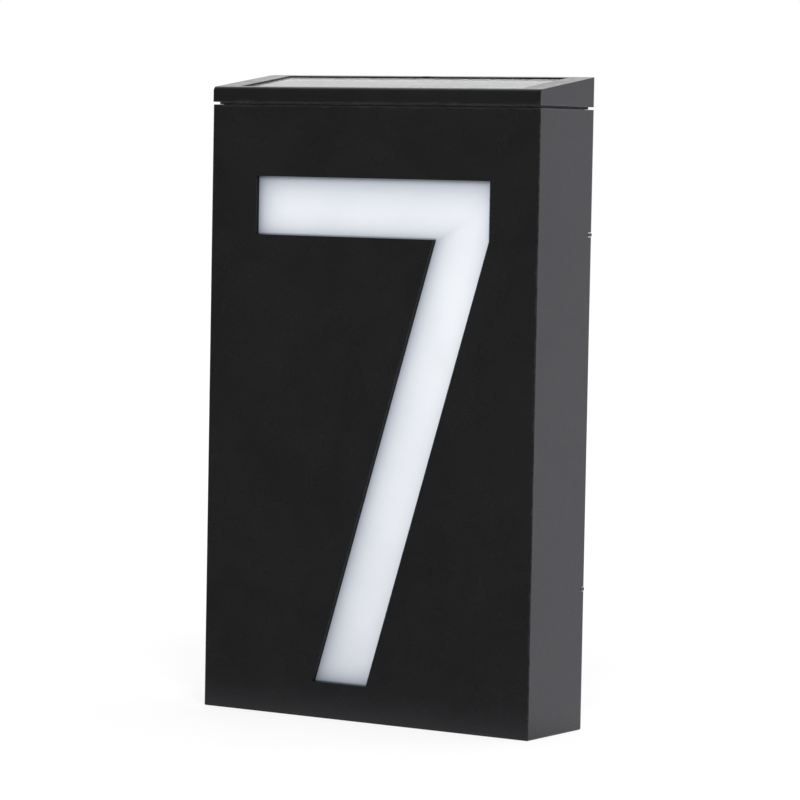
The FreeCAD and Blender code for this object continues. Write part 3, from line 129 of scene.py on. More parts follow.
def split(tree, vector):
    return list(add_node(tree, "SeparateXYZ", vector).node.outputs)


def bump(tree, height, distance, strength):
    """A normal raised by a height of 0..1 times a real distance."""
    return add_node(tree, "Bump", strength, distance, None, height)


def grey(level):
    return (level, level, level, 1.0)


def scaled(colour, share):
    return tuple(part * share for part in colour[:3]) + (1.0,)


# ---- effects that several finishes share ----

def new_group(name, takes, gives):
    """An effect's tree with its named sockets, its inputs by name and its outputs to fill."""
    tree = bpy.data.node_groups.new(name, "ShaderNodeTree")
    for label, value in takes.items():
        kind = "NodeSocketVector" if isinstance(value, tuple) else "NodeSocketFloat"
        tree.interface.new_socket(label, in_out="INPUT", socket_type=kind).default_value = value
    for label in gives:
        tree.interface.new_socket(label, in_out="OUTPUT", socket_type="NodeSocketFloat")
    start = tree.nodes.new("NodeGroupInput").outputs
    end = tree.nodes.new("NodeGroupOutput").inputs
    return tree, start, end


def make_moulded_grain():
    """Spark-eroded grain: slow patches of tone from the melt's flow, and a fine pebble."""
    tree, start, end = new_group("moulded_grain", {"Pebble": 3500.0, "Flow": 45.0},
                                 ["Tone", "Height", "Gloss"])
    place = object_place(tree)
    join(tree, end["Tone"], patches(tree, place, (start["Flow"], 4.0, 0.6, 0.8)))
    coarse = noise(tree, place, start["Pebble"], 3.0, 0.6)
    fine = noise(tree, place, maths(tree, "MULTIPLY", start["Pebble"], 2.7), 1.0)
    pebble = maths(tree, "MULTIPLY_ADD", fine, 0.35, product(tree, coarse, 0.65))
    join(tree, end["Height"], pebble)
    smear = (maths(tree, "MULTIPLY", start["Flow"], 3.1), 3.0, 0.55, 1.5)
    join(tree, end["Gloss"], patches(tree, place, smear, (0.3, 0.75)))
    return tree


def make_edge_wear():
    """Rubbed edges of a box-shaped piece: near two of its outer faces at once."""
    tree, start, end = new_group(
        "edge_wear", {"Low": (0, 0, 0), "High": (1, 1, 1), "Width": 0.8 * MM}, ["Mask"])
    place = object_place(tree)
    from_low = add_node(tree, "VectorMath", place, start["Low"], operation="SUBTRACT")
    from_high = add_node(tree, "VectorMath", start["High"], place, operation="SUBTRACT")
    nearest = add_node(tree, "VectorMath", from_low, from_high, operation="MINIMUM")
    across, deep, up = split(tree, nearest)
    furthest = maths(tree, "MAXIMUM", maths(tree, "MAXIMUM", across, deep), up)
    total = maths(tree, "ADD", maths(tree, "ADD", across, deep), up)
    reach = less(tree, total, furthest)
    uneven = patches(tree, place, (260.0, 4.0, 0.7), (0.35, 0.75), (0.25, 1.6))
    width = product(tree, start["Width"], uneven)
    join(tree, end["Mask"], maths(tree, "SUBTRACT", 1.0, maths(tree, "DIVIDE", reach, width),
                                  clamp=True))
    return tree


def make_dust():
    """Fine dust that settles on faces that look up, and more of it in patches."""
    tree, start, end = new_group("settled_dust", {"Amount": 0.3, "Patch": 90.0}, ["Mask"])
    place = object_place(tree)
    up = split(tree, add_node(tree, "NewGeometry", out=1))[2]
    level = stretch(tree, up, 0.35, 0.95, 0.04, 1.0)
    drifts = patches(tree, place, (start["Patch"], 5.0, 0.65), (0.35, 0.75))
    specks = patches(tree, place, (5200.0, 1.0), (0.62, 0.72))
    film = maths(tree, "MULTIPLY_ADD", specks, 0.6, product(tree, drifts, 0.5))
    join(tree, end["Mask"], maths(tree, "MULTIPLY", product(tree, film, level), start["Amount"],
                                  clamp=True))
    return tree


def make_scratches():
    """Hair scratches in two directions, broken into short lengths."""
    tree, start, end = new_group("hair_scratches", {"Scale": 300.0}, ["Mask"])
    place = object_place(tree)
    marks = []
    for turn, squeeze in (((0.2, 0.5, 0.4), (1.0, 14.0, 9.0)), ((0.9, 0.3, 1.3), (12.0, 1.0, 10.0))):
        drawn = add_node(tree, "Mapping", place, None, turn, squeeze)
        lines = noise(tree, drawn, start["Scale"], 2.0, 0.4)
        near = maths(tree, "ABSOLUTE", less(tree, lines, 0.5))
        marks.append(stretch(tree, near, 0.0, 0.012, 1.0, 0.0))
    broken = patches(tree, place, (product(tree, start["Scale"], 0.5), 2.0), (0.5, 0.62))
    join(tree, end["Mask"], product(tree, maths(tree, "MAXIMUM", *marks), broken))
    return tree


MOULDED_GRAIN = make_moulded_grain()
EDGE_WEAR = make_edge_wear()
SETTLED_DUST = make_dust()
HAIR_SCRATCHES = make_scratches()


def effect(tree, group, **values):
    node = tree.nodes.new("ShaderNodeGroup")
    node.node_tree = group
    for label, value in values.items():
        join(tree, node.inputs[label], value)
    return node.outputs


# ---- finishes ----

def new_finish(name):
    """A material, its tree and its surface shader."""
    material = bpy.data.materials.new(name)
    material.use_nodes = True
    tree = material.node_tree
    return material, tree, tree.nodes["Principled BSDF"]


def set_surface(tree, shader, **values):
    """Fill the surface shader's sockets; an underscore in a name stands for a space."""
    for label, value in values.items():
        join(tree, shader.inputs[label.replace("_", " ")], value)


WEAR_SHARE = 0.45
DUST_TONE = (0.36, 0.34, 0.31, 1.0)
DUST_DULLS = 0.4


def moulded_plastic(name, colour, rubbed, gloss, pebble=3500.0, depth=0.02 * MM, node=None,
                    dust=0.12, variation=0.25):
    """Moulded plastic with its grain, uneven gloss, rubbed edges and a little dust."""
    material, tree, shader = new_finish(name)
    grain = effect(tree, MOULDED_GRAIN, Pebble=pebble)
    shade = mix_colours(tree, grain["Tone"], scaled(colour, 1 - variation), colour)
    if node:
        low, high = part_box(node)
        wear = effect(tree, EDGE_WEAR, Low=low, High=high)["Mask"]
        shade = mix_colours(tree, product(tree, wear, WEAR_SHARE), shade, rubbed)
    film = effect(tree, SETTLED_DUST, Amount=dust)["Mask"]
    shade = mix_colours(tree, film, shade, DUST_TONE)
    rough = stretch(tree, grain["Gloss"], 0.0, 1.0, *gloss)
    rough = maths(tree, "MULTIPLY_ADD", film, DUST_DULLS, rough, clamp=True)
    set_surface(tree, shader, Base_Color=shade, Roughness=rough, IOR=1.5,
                Normal=bump(tree, grain["Height"], depth, 0.5))
    return material


CASE_BLACK = (0.0102, 0.0102, 0.0106, 1.0)
CASE_RUBBED = (0.045, 0.045, 0.047, 1.0)
CASE_GLOSS = (0.21, 0.29)
HEAD_GLOSS = (0.13, 0.20)


def satin_black(node, gloss=CASE_GLOSS):
    return moulded_plastic("satin_black_" + node, CASE_BLACK, CASE_RUBBED, gloss, node=node)


# strokes of the numeral, measured level and upright on the front
NUMERAL_LAP = 3.0 * MM
NUMERAL_DROP = 22.1 * MM
BAR_HEIGHT = 18.2 * MM
STEM_WIDTH = 19.9 * MM
STEM_SHIFT = 24.3 * MM

# painted shade at the numeral's edges: how deep, and how far it fades
TOP_SHADE = (0.55, 4.0 * MM)
BAR_LEFT_SHADE = (0.70, 3.1 * MM)
BAR_LOW_SHADE = (0.40, 2.8 * MM)
RIGHT_SHADE = (0.24, 2.6 * MM)
STEM_LEFT_SHADE = (0.62, 3.4 * MM)
STEM_RIGHT_SHADE = (0.16, 2.2 * MM)
FOOT_SHADE = (0.60, 2.6 * MM)
FOOT_GLOOM = (0.12, 14.0 * MM)
# painted light: the painted glow dims towards the foot and in slow patches
LIGHT_AT_FOOT = 0.94
LIGHT_IN_CLOUDS = 0.965


def painted_edge_shade(tree, distance, shade):
    """Painted shade at an edge, which fades with the distance from it."""
    depth, width = shade
    fade = maths(tree, "EXPONENT", maths(tree, "MULTIPLY", distance, -1 / width))
    return maths(tree, "MULTIPLY_ADD", fade, -depth, 1.0, clamp=True)


def painted_numeral_glow(tree, place):
    """How the painted glow falls off into painted shade towards the edges of the 7, stroke by
    stroke.
    """
    low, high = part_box("diffuser")
    left, right = low.x + NUMERAL_LAP, high.x - NUMERAL_LAP
    foot, top = low.z + NUMERAL_LAP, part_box("housing")[1].z - NUMERAL_DROP
    knee = top - BAR_HEIGHT
    lean = (right - left - STEM_WIDTH - STEM_SHIFT) / (knee - foot)
    square_on = 1 / math.hypot(1, lean)
    across, _, up = split(tree, place)
    from_foot = less(tree, up, foot)
    stem_left = maths(tree, "MULTIPLY_ADD", from_foot, lean, left + STEM_SHIFT)
    in_stem = less(tree, across, stem_left)
    from_stem_left = product(tree, in_stem, square_on)
    from_stem_right = product(tree, less(tree, STEM_WIDTH, in_stem), square_on)
    near_top = painted_edge_shade(tree, less(tree, top, up), TOP_SHADE)
    near_right = painted_edge_shade(tree, less(tree, right, across), RIGHT_SHADE)
    near_left = painted_edge_shade(tree, less(tree, across, left), BAR_LEFT_SHADE)
    near_knee = painted_edge_shade(tree, less(tree, up, knee), BAR_LOW_SHADE)
    bar = product(tree, near_top, near_right, near_left, near_knee)
    stem = product(tree, near_top, near_right, painted_edge_shade(tree, from_stem_left, STEM_LEFT_SHADE),
                   painted_edge_shade(tree, from_stem_right, STEM_RIGHT_SHADE),
                   painted_edge_shade(tree, from_foot, FOOT_SHADE), painted_edge_shade(tree, from_foot, FOOT_GLOOM))
    dip = stretch(tree, up, foot, top, LIGHT_AT_FOOT, 1.0, smooth=False)
    clouds = patches(tree, place, (55.0, 2.0), levels=(LIGHT_IN_CLOUDS, 1.0))
    return product(tree, maths(tree, "MAXIMUM", bar, stem), dip, clouds)


# colours of the painted glow in painted shade and where fully lit, and its shares of base colour and
# of emission
OPAL_SHADED = (0.70, 0.80, 1.0, 1.0)
OPAL_LIT = (0.948, 0.973, 1.0, 1.0)
OPAL_BODY = 0.65
OPAL_LIGHT = 0.355


def opal_white():
    """Milky acrylic with a painted glow, as if lit a little from behind, and painted shade towards
    the numeral's edges.
    """
    material, tree, shader = new_finish("opal_white")
    place = object_place(tree)
    glow = painted_numeral_glow(tree, place)
    tint = mix_colours(tree, glow, OPAL_SHADED, OPAL_LIT)
    body, light = (add_node(tree, "VectorMath", tint, None, None, product(tree, glow, share),
                            operation="SCALE") for share in (OPAL_BODY, OPAL_LIGHT))
    grain = effect(tree, MOULDED_GRAIN, Pebble=5000.0)
    # painted glow: the diffuser emits light though it is no lamp, and its base colour carries the
    # painted shade
    set_surface(tree, shader, Base_Color=body, Emission_Color=light, Emission_Strength=1.0,
                Roughness=stretch(tree, grain["Gloss"], 0.0, 1.0, 0.34, 0.44), IOR=1.49,
                Normal=bump(tree, grain["Height"], 0.006 * MM, 0.4))
    return material


CLEAR_TINT = (0.97, 0.985, 0.99, 1.0)
CLEAR_SHADOW = (0.94, 0.96, 0.97, 1.0)
CLEAR_FILM = (0.8, 0.8, 0.78, 1.0)


def clear_plastic(name, smear):
    """Clear polycarbonate; light for what lies behind it passes straight through."""
    material, tree, shader = new_finish(name)
    place = object_place(tree)
    film = effect(tree, SETTLED_DUST, Amount=0.10, Patch=60.0)["Mask"]
    marks = effect(tree, HAIR_SCRATCHES, Scale=160.0)["Mask"]
    wipe = patches(tree, place, (35.0, 4.0, 0.6, 2.0), (0.35, 0.7), smear)
    rough = maths(tree, "ADD", maths(tree, "MULTIPLY_ADD", marks, 0.12, wipe), film, clamp=True)
    set_surface(tree, shader, Roughness=rough, IOR=1.49, Transmission_Weight=1.0,
                Base_Color=mix_colours(tree, film, CLEAR_TINT, CLEAR_FILM),
                Normal=bump(tree, marks, -0.002 * MM, 0.3))
    through = add_node(tree, "BsdfTransparent", CLEAR_SHADOW)
    shadow = add_node(tree, "LightPath", out=1)
    both = add_node(tree, "MixShader", shadow, shader.outputs[0], through)
    join(tree, tree.nodes["Material Output"].inputs["Surface"], both)
    return material


FINGER_PITCH = 1.9 * MM
FINGER_WIDTH = 0.12 * MM
FINGER_SILVER = (0.52, 0.52, 0.50, 1.0)
SILICON_FLAKES = 320.0
SILICON_DARK = (0.006, 0.009, 0.030, 1.0)
SILICON_PALE = (0.016, 0.024, 0.070, 1.0)


def cell_blue():
    """Dark silicon with crystal flakes, crossed by fine printed silver lines."""
    material, tree, shader = new_finish("cell_blue")
    place = object_place(tree)
    tone = split(tree, cell_pattern(tree, place, SILICON_FLAKES, out=1))[0]
    silicon = mix_colours(tree, tone, SILICON_DARK, SILICON_PALE)
    across = split(tree, place)[0]
    step = maths(tree, "FRACT", maths(tree, "DIVIDE", across, FINGER_PITCH))
    off = product(tree, maths(tree, "ABSOLUTE", less(tree, step, 0.5)), FINGER_PITCH)
    wavy = patches(tree, place, (900.0, 2.0), levels=(0.8, 1.2))
    silver = maths(tree, "LESS_THAN", off, product(tree, wavy, FINGER_WIDTH / 2))
    shade = mix_colours(tree, silver, silicon, FINGER_SILVER)
    texture = noise(tree, place, 2600.0, 3.0)
    set_surface(tree, shader, Base_Color=shade, Metallic=product(tree, silver, 0.6), IOR=1.6,
                Roughness=stretch(tree, texture, 0.3, 0.7, 0.30, 0.46),
                Normal=bump(tree, maths(tree, "MAXIMUM", silver, product(tree, texture, 0.2)),
                            0.02 * MM, 0.6))
    return material


SPANGLE = 1500.0
BLOOM_TONE = (0.34, 0.33, 0.31, 1.0)


def plated_metal(name, colour, rough=(0.26, 0.44)):
    """Plated steel: faint spangle, hair scratches and a dull bloom here and there."""
    material, tree, shader = new_finish(name)
    place = object_place(tree)
    tone = split(tree, cell_pattern(tree, place, SPANGLE, out=1))[0]
    bright = mix_colours(tree, tone, scaled(colour, 0.85), colour)
    bloom = patches(tree, place, (700.0, 4.0, 0.65), (0.48, 0.78), (0.0, 0.6))
    marks = effect(tree, HAIR_SCRATCHES, Scale=700.0)["Mask"]
    rub = maths(tree, "MULTIPLY_ADD", bloom, 0.25, stretch(tree, tone, 0.0, 1.0, *rough))
    set_surface(tree, shader, Metallic=1.0,
                Base_Color=mix_colours(tree, bloom, bright, BLOOM_TONE),
                Roughness=maths(tree, "MULTIPLY_ADD", marks, -0.12, rub, clamp=True),
                Normal=bump(tree, less(tree, tone, marks), 0.004 * MM, 0.35))
    return material


SOLDER_BRIGHT = (0.80, 0.80, 0.78, 1.0)
SOLDER_DULL = (0.5, 0.5, 0.48, 1.0)


def tinned_ribbon():
    """Solder-dipped copper: soft ripples across a bright strip."""
    material, tree, shader = new_finish("tinned_ribbon")
    place = object_place(tree)
    ripple = noise(tree, place, 420.0, 3.0, 0.55, 1.2)
    dull = patches(tree, place, (1500.0, 2.0), (0.4, 0.75), (0.0, 0.5))
    set_surface(tree, shader, Metallic=1.0,
                Base_Color=mix_colours(tree, dull, SOLDER_BRIGHT, SOLDER_DULL),
                Roughness=stretch(tree, ripple, 0.3, 0.7, 0.18, 0.4),
                Normal=bump(tree, ripple, 0.08 * MM, 0.6))
    return material


FOAM_BUBBLES = 2600.0


def foam(name, colour):
    """Closed-cell foam: packed bubbles, with painted shade in their hollows."""
    material, tree, shader = new_finish(name)
    place = object_place(tree)
    hollow = stretch(tree, cell_pattern(tree, place, FOAM_BUBBLES), 0.0, 0.75)
    uneven = patches(tree, place, (180.0, 3.0), levels=(0.75, 1.1))
    # painted shade: the bubbles' hollows are darker in colour
    shade = mix_colours(tree, product(tree, hollow, uneven), scaled(colour, 0.45), colour)
    set_surface(tree, shader, Base_Color=shade, IOR=1.4,
                Roughness=stretch(tree, hollow, 0.0, 1.0, 0.98, 0.8),
                Normal=bump(tree, hollow, 0.12 * MM, 0.9))
    return material


BOARD_WEAVE = 9000.0
# how many tracks and pads to the metre, and how scattered they lie
BOARD_TRACKS = (420.0, 0.55)
BOARD_PADS = (520.0, 0.35)
TRACK_EDGE = (0.10, 0.13)
PAD_RADIUS = 0.17
PAD_TONE = (0.72, 0.66, 0.42, 1.0)


def lacquered_board(name, lacquer, track):
    """A circuit board: tracks under lacquer, small bare pads and the weave of its glass."""
    material, tree, shader = new_finish(name)
    place = object_place(tree)
    lines = cell_pattern(tree, place, *BOARD_TRACKS, feature="DISTANCE_TO_EDGE")
    tracks = stretch(tree, lines, *TRACK_EDGE)
    pads = maths(tree, "LESS_THAN", cell_pattern(tree, place, *BOARD_PADS), PAD_RADIUS)
    across, deep, _ = split(tree, place)
    weave = maths(tree, "ADD", maths(tree, "SINE", product(tree, across, BOARD_WEAVE)),
                  maths(tree, "SINE", product(tree, deep, BOARD_WEAVE)))
    shade = mix_colours(tree, tracks, lacquer, track)
    shade = mix_colours(tree, pads, shade, PAD_TONE)
    height = maths(tree, "MULTIPLY_ADD", weave, 0.06, maths(tree, "MAXIMUM", tracks, pads))
    set_surface(tree, shader, Base_Color=shade, Metallic=product(tree, pads, 0.9), IOR=1.5,
                Roughness=patches(tree, place, (300.0, 3.0), levels=(0.22, 0.36)),
                Normal=bump(tree, height, 0.03 * MM, 0.6))
    return material


def even_finish(name, grain, colours, rough, depth, **values):
    """A fine, even material: one noise drives its tone, its gloss and its relief."""
    material, tree, shader = new_finish(name)
    grains = noise(tree, object_place(tree), grain, 3.0)
    set_surface(tree, shader, Roughness=stretch(tree, grains, 0.3, 0.7, *rough),
                Base_Color=mix_colours(tree, stretch(tree, grains, 0.3, 0.7), *colours),
                Normal=bump(tree, grains, depth, 0.4), **values)
    return material


def printed_sleeve(name, colour, printed, span):
    """Shrink sleeve: a plain colour, printed pale over one span of x, with stretch lines."""
    material, tree, shader = new_finish(name)
    place = object_place(tree)
    across = split(tree, place)[0]
    low, high = span
    inside = product(tree, maths(tree, "GREATER_THAN", across, low),
                     maths(tree, "LESS_THAN", across, high))
    pulled = add_node(tree, "Mapping", place, None, None, (0.15, 1.0, 1.0))
    lines = noise(tree, pulled, 2200.0, 3.0, 0.5)
    shade = mix_colours(tree, inside, colour, printed)
    shade = mix_colours(tree, stretch(tree, lines, 0.45, 0.8, 0.0, 0.15), shade, grey(0.9))
    set_surface(tree, shader, Base_Color=shade, IOR=1.52, Coat_Weight=0.25,
                Roughness=stretch(tree, lines, 0.3, 0.7, 0.2, 0.34),
                Normal=bump(tree, lines, 0.01 * MM, 0.5))
    return material


# ---- building pieces ----

WELD = 0.0005 * MM
SHARP_FROM = math.radians(35.0)
shift = Matrix.Translation


def mesh_of(name, form):
    """Turn a bmesh into a mesh, and free it."""
    mesh = bpy.data.meshes.new(name)
    form.to_mesh(mesh)
    form.free()
    return mesh


def add_object(name, data):
    made = bpy.data.objects.new(name, data)
    SCENE.collection.objects.link(made)
    return made


def move(form, verts, matrix):
    bmesh.ops.transform(form, verts=verts, matrix=matrix)


def finish_piece(name, form, body, slot, material, *replaced):
    """Close a bmesh into a piece that rides on its body and stands for the named nodes."""
    bmesh.ops.remove_doubles(form, verts=form.verts, dist=WELD)
    bmesh.ops.recalc_face_normals(form, faces=form.faces)
    mesh = mesh_of(name, form)
    mesh.shade_smooth()
    mesh.set_sharp_from_angle(angle=SHARP_FROM)
    mesh.materials.append(material)
    piece = add_object(name, mesh)
    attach(piece, body)
    if replaced:
        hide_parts(*replaced)
    return piece


def spun(form, verts, parts, angle, steps, climb=0.0, merge=False):
    """Spin parts about z while they climb; return the points they had and the new ones."""
    before = set(form.verts)
    bmesh.ops.spin(form, geom=parts, cent=(0, 0, 0), axis=(0, 0, 1), dvec=(0, 0, climb / steps),
                   angle=angle, steps=steps, use_merge=merge)
    return verts + [vert for vert in form.verts if vert not in before]


def turned(form, outline, sides, place):
    """Spin an outline of (radius, height) points about z, then move it to its place."""
    verts = [form.verts.new((radius, 0, height)) for radius, height in outline]
    edges = [form.edges.new(pair) for pair in zip(verts, verts[1:])]
    fresh = spun(form, verts, verts + edges, math.tau, sides, merge=True)
    bmesh.ops.remove_doubles(form, verts=fresh, dist=WELD)
    move(form, [vert for vert in fresh if vert.is_valid], place)


def round_edges(form, edges, width):
    bmesh.ops.bevel(form, geom=edges, offset=width, affect="EDGES", segments=2, profile=0.5,
                    material=-1)


def block(form, low, high, bevel=0.0):
    """A box between two corners, its edges rounded by the bevel."""
    size = Vector(high) - Vector(low)
    made = bmesh.ops.create_cube(form, size=1.0)["verts"]
    move(form, made, shift((Vector(low) + Vector(high)) / 2) @ Matrix.Diagonal((*size, 1)))
    if bevel:
        edges = dict.fromkeys(edge for vert in made for edge in vert.link_edges)
        round_edges(form, list(edges), bevel)
    return made


def end_face(verts, pick):
    """The lowest or the highest face at these points, as min or max picks it."""
    return pick({face for vert in verts for face in vert.link_faces},
                key=lambda face: face.calc_center_median().z)


def wound(form, radius, wire, turns, rise, steps, sides=8):
    """A wire wound about z: a disc of the wire's section, spun while it climbs."""
    made = bmesh.ops.create_circle(form, cap_ends=True, segments=sides, radius=wire)["verts"]
    move(form, made, shift((radius, 0, wire)) @ Matrix.Rotation(math.pi / 2, 4, "X"))
    disc = list(made[0].link_faces)
    return spun(form, made, disc, math.tau * turns, round(steps * turns), rise)


# ---- screws ----

# a screw's head radius and height, its shank's radius and the crown of its head
Screw = namedtuple("Screw", "head head_height shank crown")
# crowns from rim to middle, in shares of the head's radius and height
ROUND_CROWN = ((1.0, 0.35), (0.94, 0.66), (0.72, 0.92), (0.4, 1.0), (0.0, 1.0))
FLAT_CROWN = ((1.0, 0.96), (0.97, 1.0), (0.0, 1.0))
COVER_SCREW = Screw(2.5 * MM, 0.93 * MM, 1.28 * MM, FLAT_CROWN)
SMALL_SCREW = Screw(1.75 * MM, 1.35 * MM, 1.0 * MM, ROUND_CROWN)
COVER_SEAT = 0.95 * MM
SMALL_SEAT = SMALL_SCREW.head_height + 0.05 * MM
SCREW_SIDES = 32
# the point's length in shares of the shank, and its blunt tip in shares of core and point
POINT_SHARE = 2.2
TIP_WIDTH = 0.25
TIP_LENGTH = 0.12
THREAD_PITCH = 0.8 * MM
THREAD_DEPTH = 0.16 * MM
# the ridge's foot in shares of the pitch, and its root in shares of the core
THREAD_FOOT = 0.55
THREAD_ROOT = 0.9
THREAD_STEPS = 16
# the driver cross, in shares of the head; its taper is the share left at the bottom
CROSS_LENGTH = 1.2
CROSS_WIDTH = 0.24
CROSS_DEPTH = 0.62
CROSS_TAPER = (0.45, 0.7)


def thread_form(form, place, core, crest, length):
    """A ridge wound round the core, from a pitch below the head down to the point."""
    root, foot = core * THREAD_ROOT, THREAD_PITCH * THREAD_FOOT
    corners = [form.verts.new(spot) for spot in (
        (root, 0, 0), (root, 0, foot), (crest, 0, foot / 2))]
    ridge = form.faces.new(corners)
    turns = (length - THREAD_PITCH) / THREAD_PITCH
    fresh = spun(form, corners, [ridge], math.tau * turns, round(turns * THREAD_STEPS),
                 -turns * THREAD_PITCH)
    move(form, fresh, place @ shift((0, 0, -THREAD_PITCH)))


def screw_form(form, place, screw, length):
    """One self-tapping screw, its head's seat at the place's origin and its tip along -z."""
    point = POINT_SHARE * screw.shank
    core = screw.shank - THREAD_DEPTH
    crown = [(screw.head * out, screw.head_height * up) for out, up in screw.crown]
    outline = [(0, -length), (core * TIP_WIDTH, -length + point * TIP_LENGTH),
               (core, -length + point), (core, 0), (screw.head, 0), *crown]
    turned(form, outline, SCREW_SIDES, place)
    thread_form(form, place, core, screw.shank, length - point)


def cross_form(form, place, screw):
    """The cutter for a driver cross: two tapered bars, down into the head."""
    bar = (screw.head * CROSS_LENGTH, screw.head * CROSS_WIDTH,
           screw.head_height * CROSS_DEPTH * 2)
    for turn in (0.0, math.pi / 2):
        made = bmesh.ops.create_cube(form, size=1.0)["verts"]
        move(form, made, Matrix.Diagonal((*bar, 1)))
        for vert in made:
            if vert.co.z < 0:
                vert.co.x *= CROSS_TAPER[0]
                vert.co.y *= CROSS_TAPER[1]
        move(form, made, place @ shift((0, 0, screw.head_height)) @ Matrix.Rotation(turn, 4, "Z"))


def carve(piece, cutter_form):
    """Cut the cutter's form out of a piece, and leave the result as its own mesh."""
    bmesh.ops.recalc_face_normals(cutter_form, faces=cutter_form.faces)
    mesh = mesh_of("cutter", cutter_form)
    cutter = add_object("cutter", mesh)
    cut = piece.modifiers.new("cross", "BOOLEAN")
    cut.operation = "DIFFERENCE"
    cut.solver = "EXACT"
    cut.use_self = True
    cut.object = cutter
    bpy.context.view_layer.update()
    graph = bpy.context.evaluated_depsgraph_get()
    result = bpy.data.meshes.new_from_object(piece.evaluated_get(graph))
    piece.modifiers.clear()
    old = piece.data
    piece.data = result
    result.name = old.name
    bpy.data.objects.remove(cutter)
    for spare in (old, mesh):
        bpy.data.meshes.remove(spare)


def make_screws(name, node, body, spots, facing, screw, length):
    """A node's screws as one piece, each turned by chance and cut with its driver cross."""
    form, cutters = bmesh.new(), bmesh.new()
    chance = random.Random(name)
    for spot in spots:
        turn = Matrix.Rotation(chance.uniform(0, math.pi / 2), 4, "Z")
        place = shift(spot) @ facing @ turn
        screw_form(form, place, screw, length)
        cross_form(cutters, place, screw)
    carve(finish_piece(name, form, body, "screw_steel", SCREW_STEEL, node), cutters)


FACING_BACK = Matrix.Rotation(-math.pi / 2, 4, "X")
FACING_DOWN = Matrix.Rotation(math.pi, 4, "X")
FACING_UP = Matrix.Identity(4)


def dress_screws():
    """The screws at the corners of each node's box: four, or two across the boards."""
    for name, node, screw, sunk in (
            ("rear_cover_screw_set", "rear_cover_screws", COVER_SCREW, COVER_SEAT),
            ("reflector_screw_set", "reflector_screws", SMALL_SCREW, SMALL_SEAT)):
        low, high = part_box(node)
        seat = high.y - sunk
        spots = [(across, seat, up) for across in (low.x + screw.head, high.x - screw.head)
                 for up in (low.z + screw.head, high.z - screw.head)]
        make_screws(name, node, "box", spots, FACING_BACK, screw, seat - low.y)
    inset = SMALL_SCREW.head
    low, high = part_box("head_screws")
    seat = low.z + SMALL_SEAT
    spots = [(across, deep, seat) for across in (low.x + inset, high.x - inset)
             for deep in (low.y + inset, high.y - inset)]
    make_screws("head_screw_set", "head_screws", "head", spots, FACING_DOWN, SMALL_SCREW,
                high.z - seat)
    for board in ("led_board", "circuit_board"):
        node = board + "_screws"
        low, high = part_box(node)
        seat = high.z - SMALL_SEAT
        spots = [(low.x + inset, low.y + inset, seat), (high.x - inset, high.y - inset, seat)]
        make_screws(board + "_screw_set", node, "head", spots, FACING_UP, SMALL_SCREW,
                    seat - low.z)


# ---- battery and contacts ----

CELL_SIDES = 64
END_SIDES = 48
BUTTON_RADIUS = 2.75 * MM
BUTTON_HEIGHT = 1.0 * MM
BUTTON_ROUND = 0.25 * MM
# the bare metal round the button: how wide at its foot and top, and how deep those lie
SKIRT_FOOT = (0.5 * MM, 0.45 * MM)
SKIRT_TOP = (0.3 * MM, 0.2 * MM)
SLEEVE_ROLL = 0.45 * MM
SLEEVE_CORNER = SLEEVE_ROLL * 0.3
SLEEVE_THICK = 0.12 * MM
# how far the sleeve reaches in over each end, how wide its lip is and how deep its pocket
FLAT_REACH = 1.6 * MM
FLAT_LIP = 0.3 * MM
FLAT_POCKET = 1.0 * MM
BUTTON_REACH = 2.4 * MM
BUTTON_LIP = 0.2 * MM
BUTTON_POCKET = 0.5 * MM
# the bare flat end: its rim's distance from the sleeve's side, its flare, its face and its back
FLAT_RIM = 1.7 * MM
FLAT_FLARE = 0.05 * MM
FLAT_FACE = 0.3 * MM
FLAT_BACK = 0.9 * MM
# the printed ring's edges, in shares of the cell's length
PRINTED_RING = (0.74, 0.80)
BATTERY_GREEN = (0.035, 0.26, 0.09, 1.0)


def sleeve_outline(radius, shoulder):
    """The sleeve rolls over both ends and leaves a pocket in each."""
    roll, corner = SLEEVE_ROLL, SLEEVE_CORNER
    flat_edge, button_edge = radius - FLAT_REACH, radius - BUTTON_REACH
    flat_end = [(flat_edge, SLEEVE_THICK), (flat_edge + FLAT_LIP, 0), (radius - roll, 0),
                (radius - corner, corner), (radius, roll)]
    button_end = [(radius, shoulder - roll), (radius - corner, shoulder - corner),
                  (radius - roll, shoulder), (button_edge + BUTTON_LIP, shoulder),
                  (button_edge + BUTTON_LIP / 2, shoulder - SLEEVE_THICK)]
    pockets = [(button_edge, shoulder - BUTTON_POCKET), (0, shoulder - BUTTON_POCKET),
               (0, FLAT_POCKET), (flat_edge, FLAT_POCKET), (flat_edge, SLEEVE_THICK)]
    return flat_end + button_end + pockets


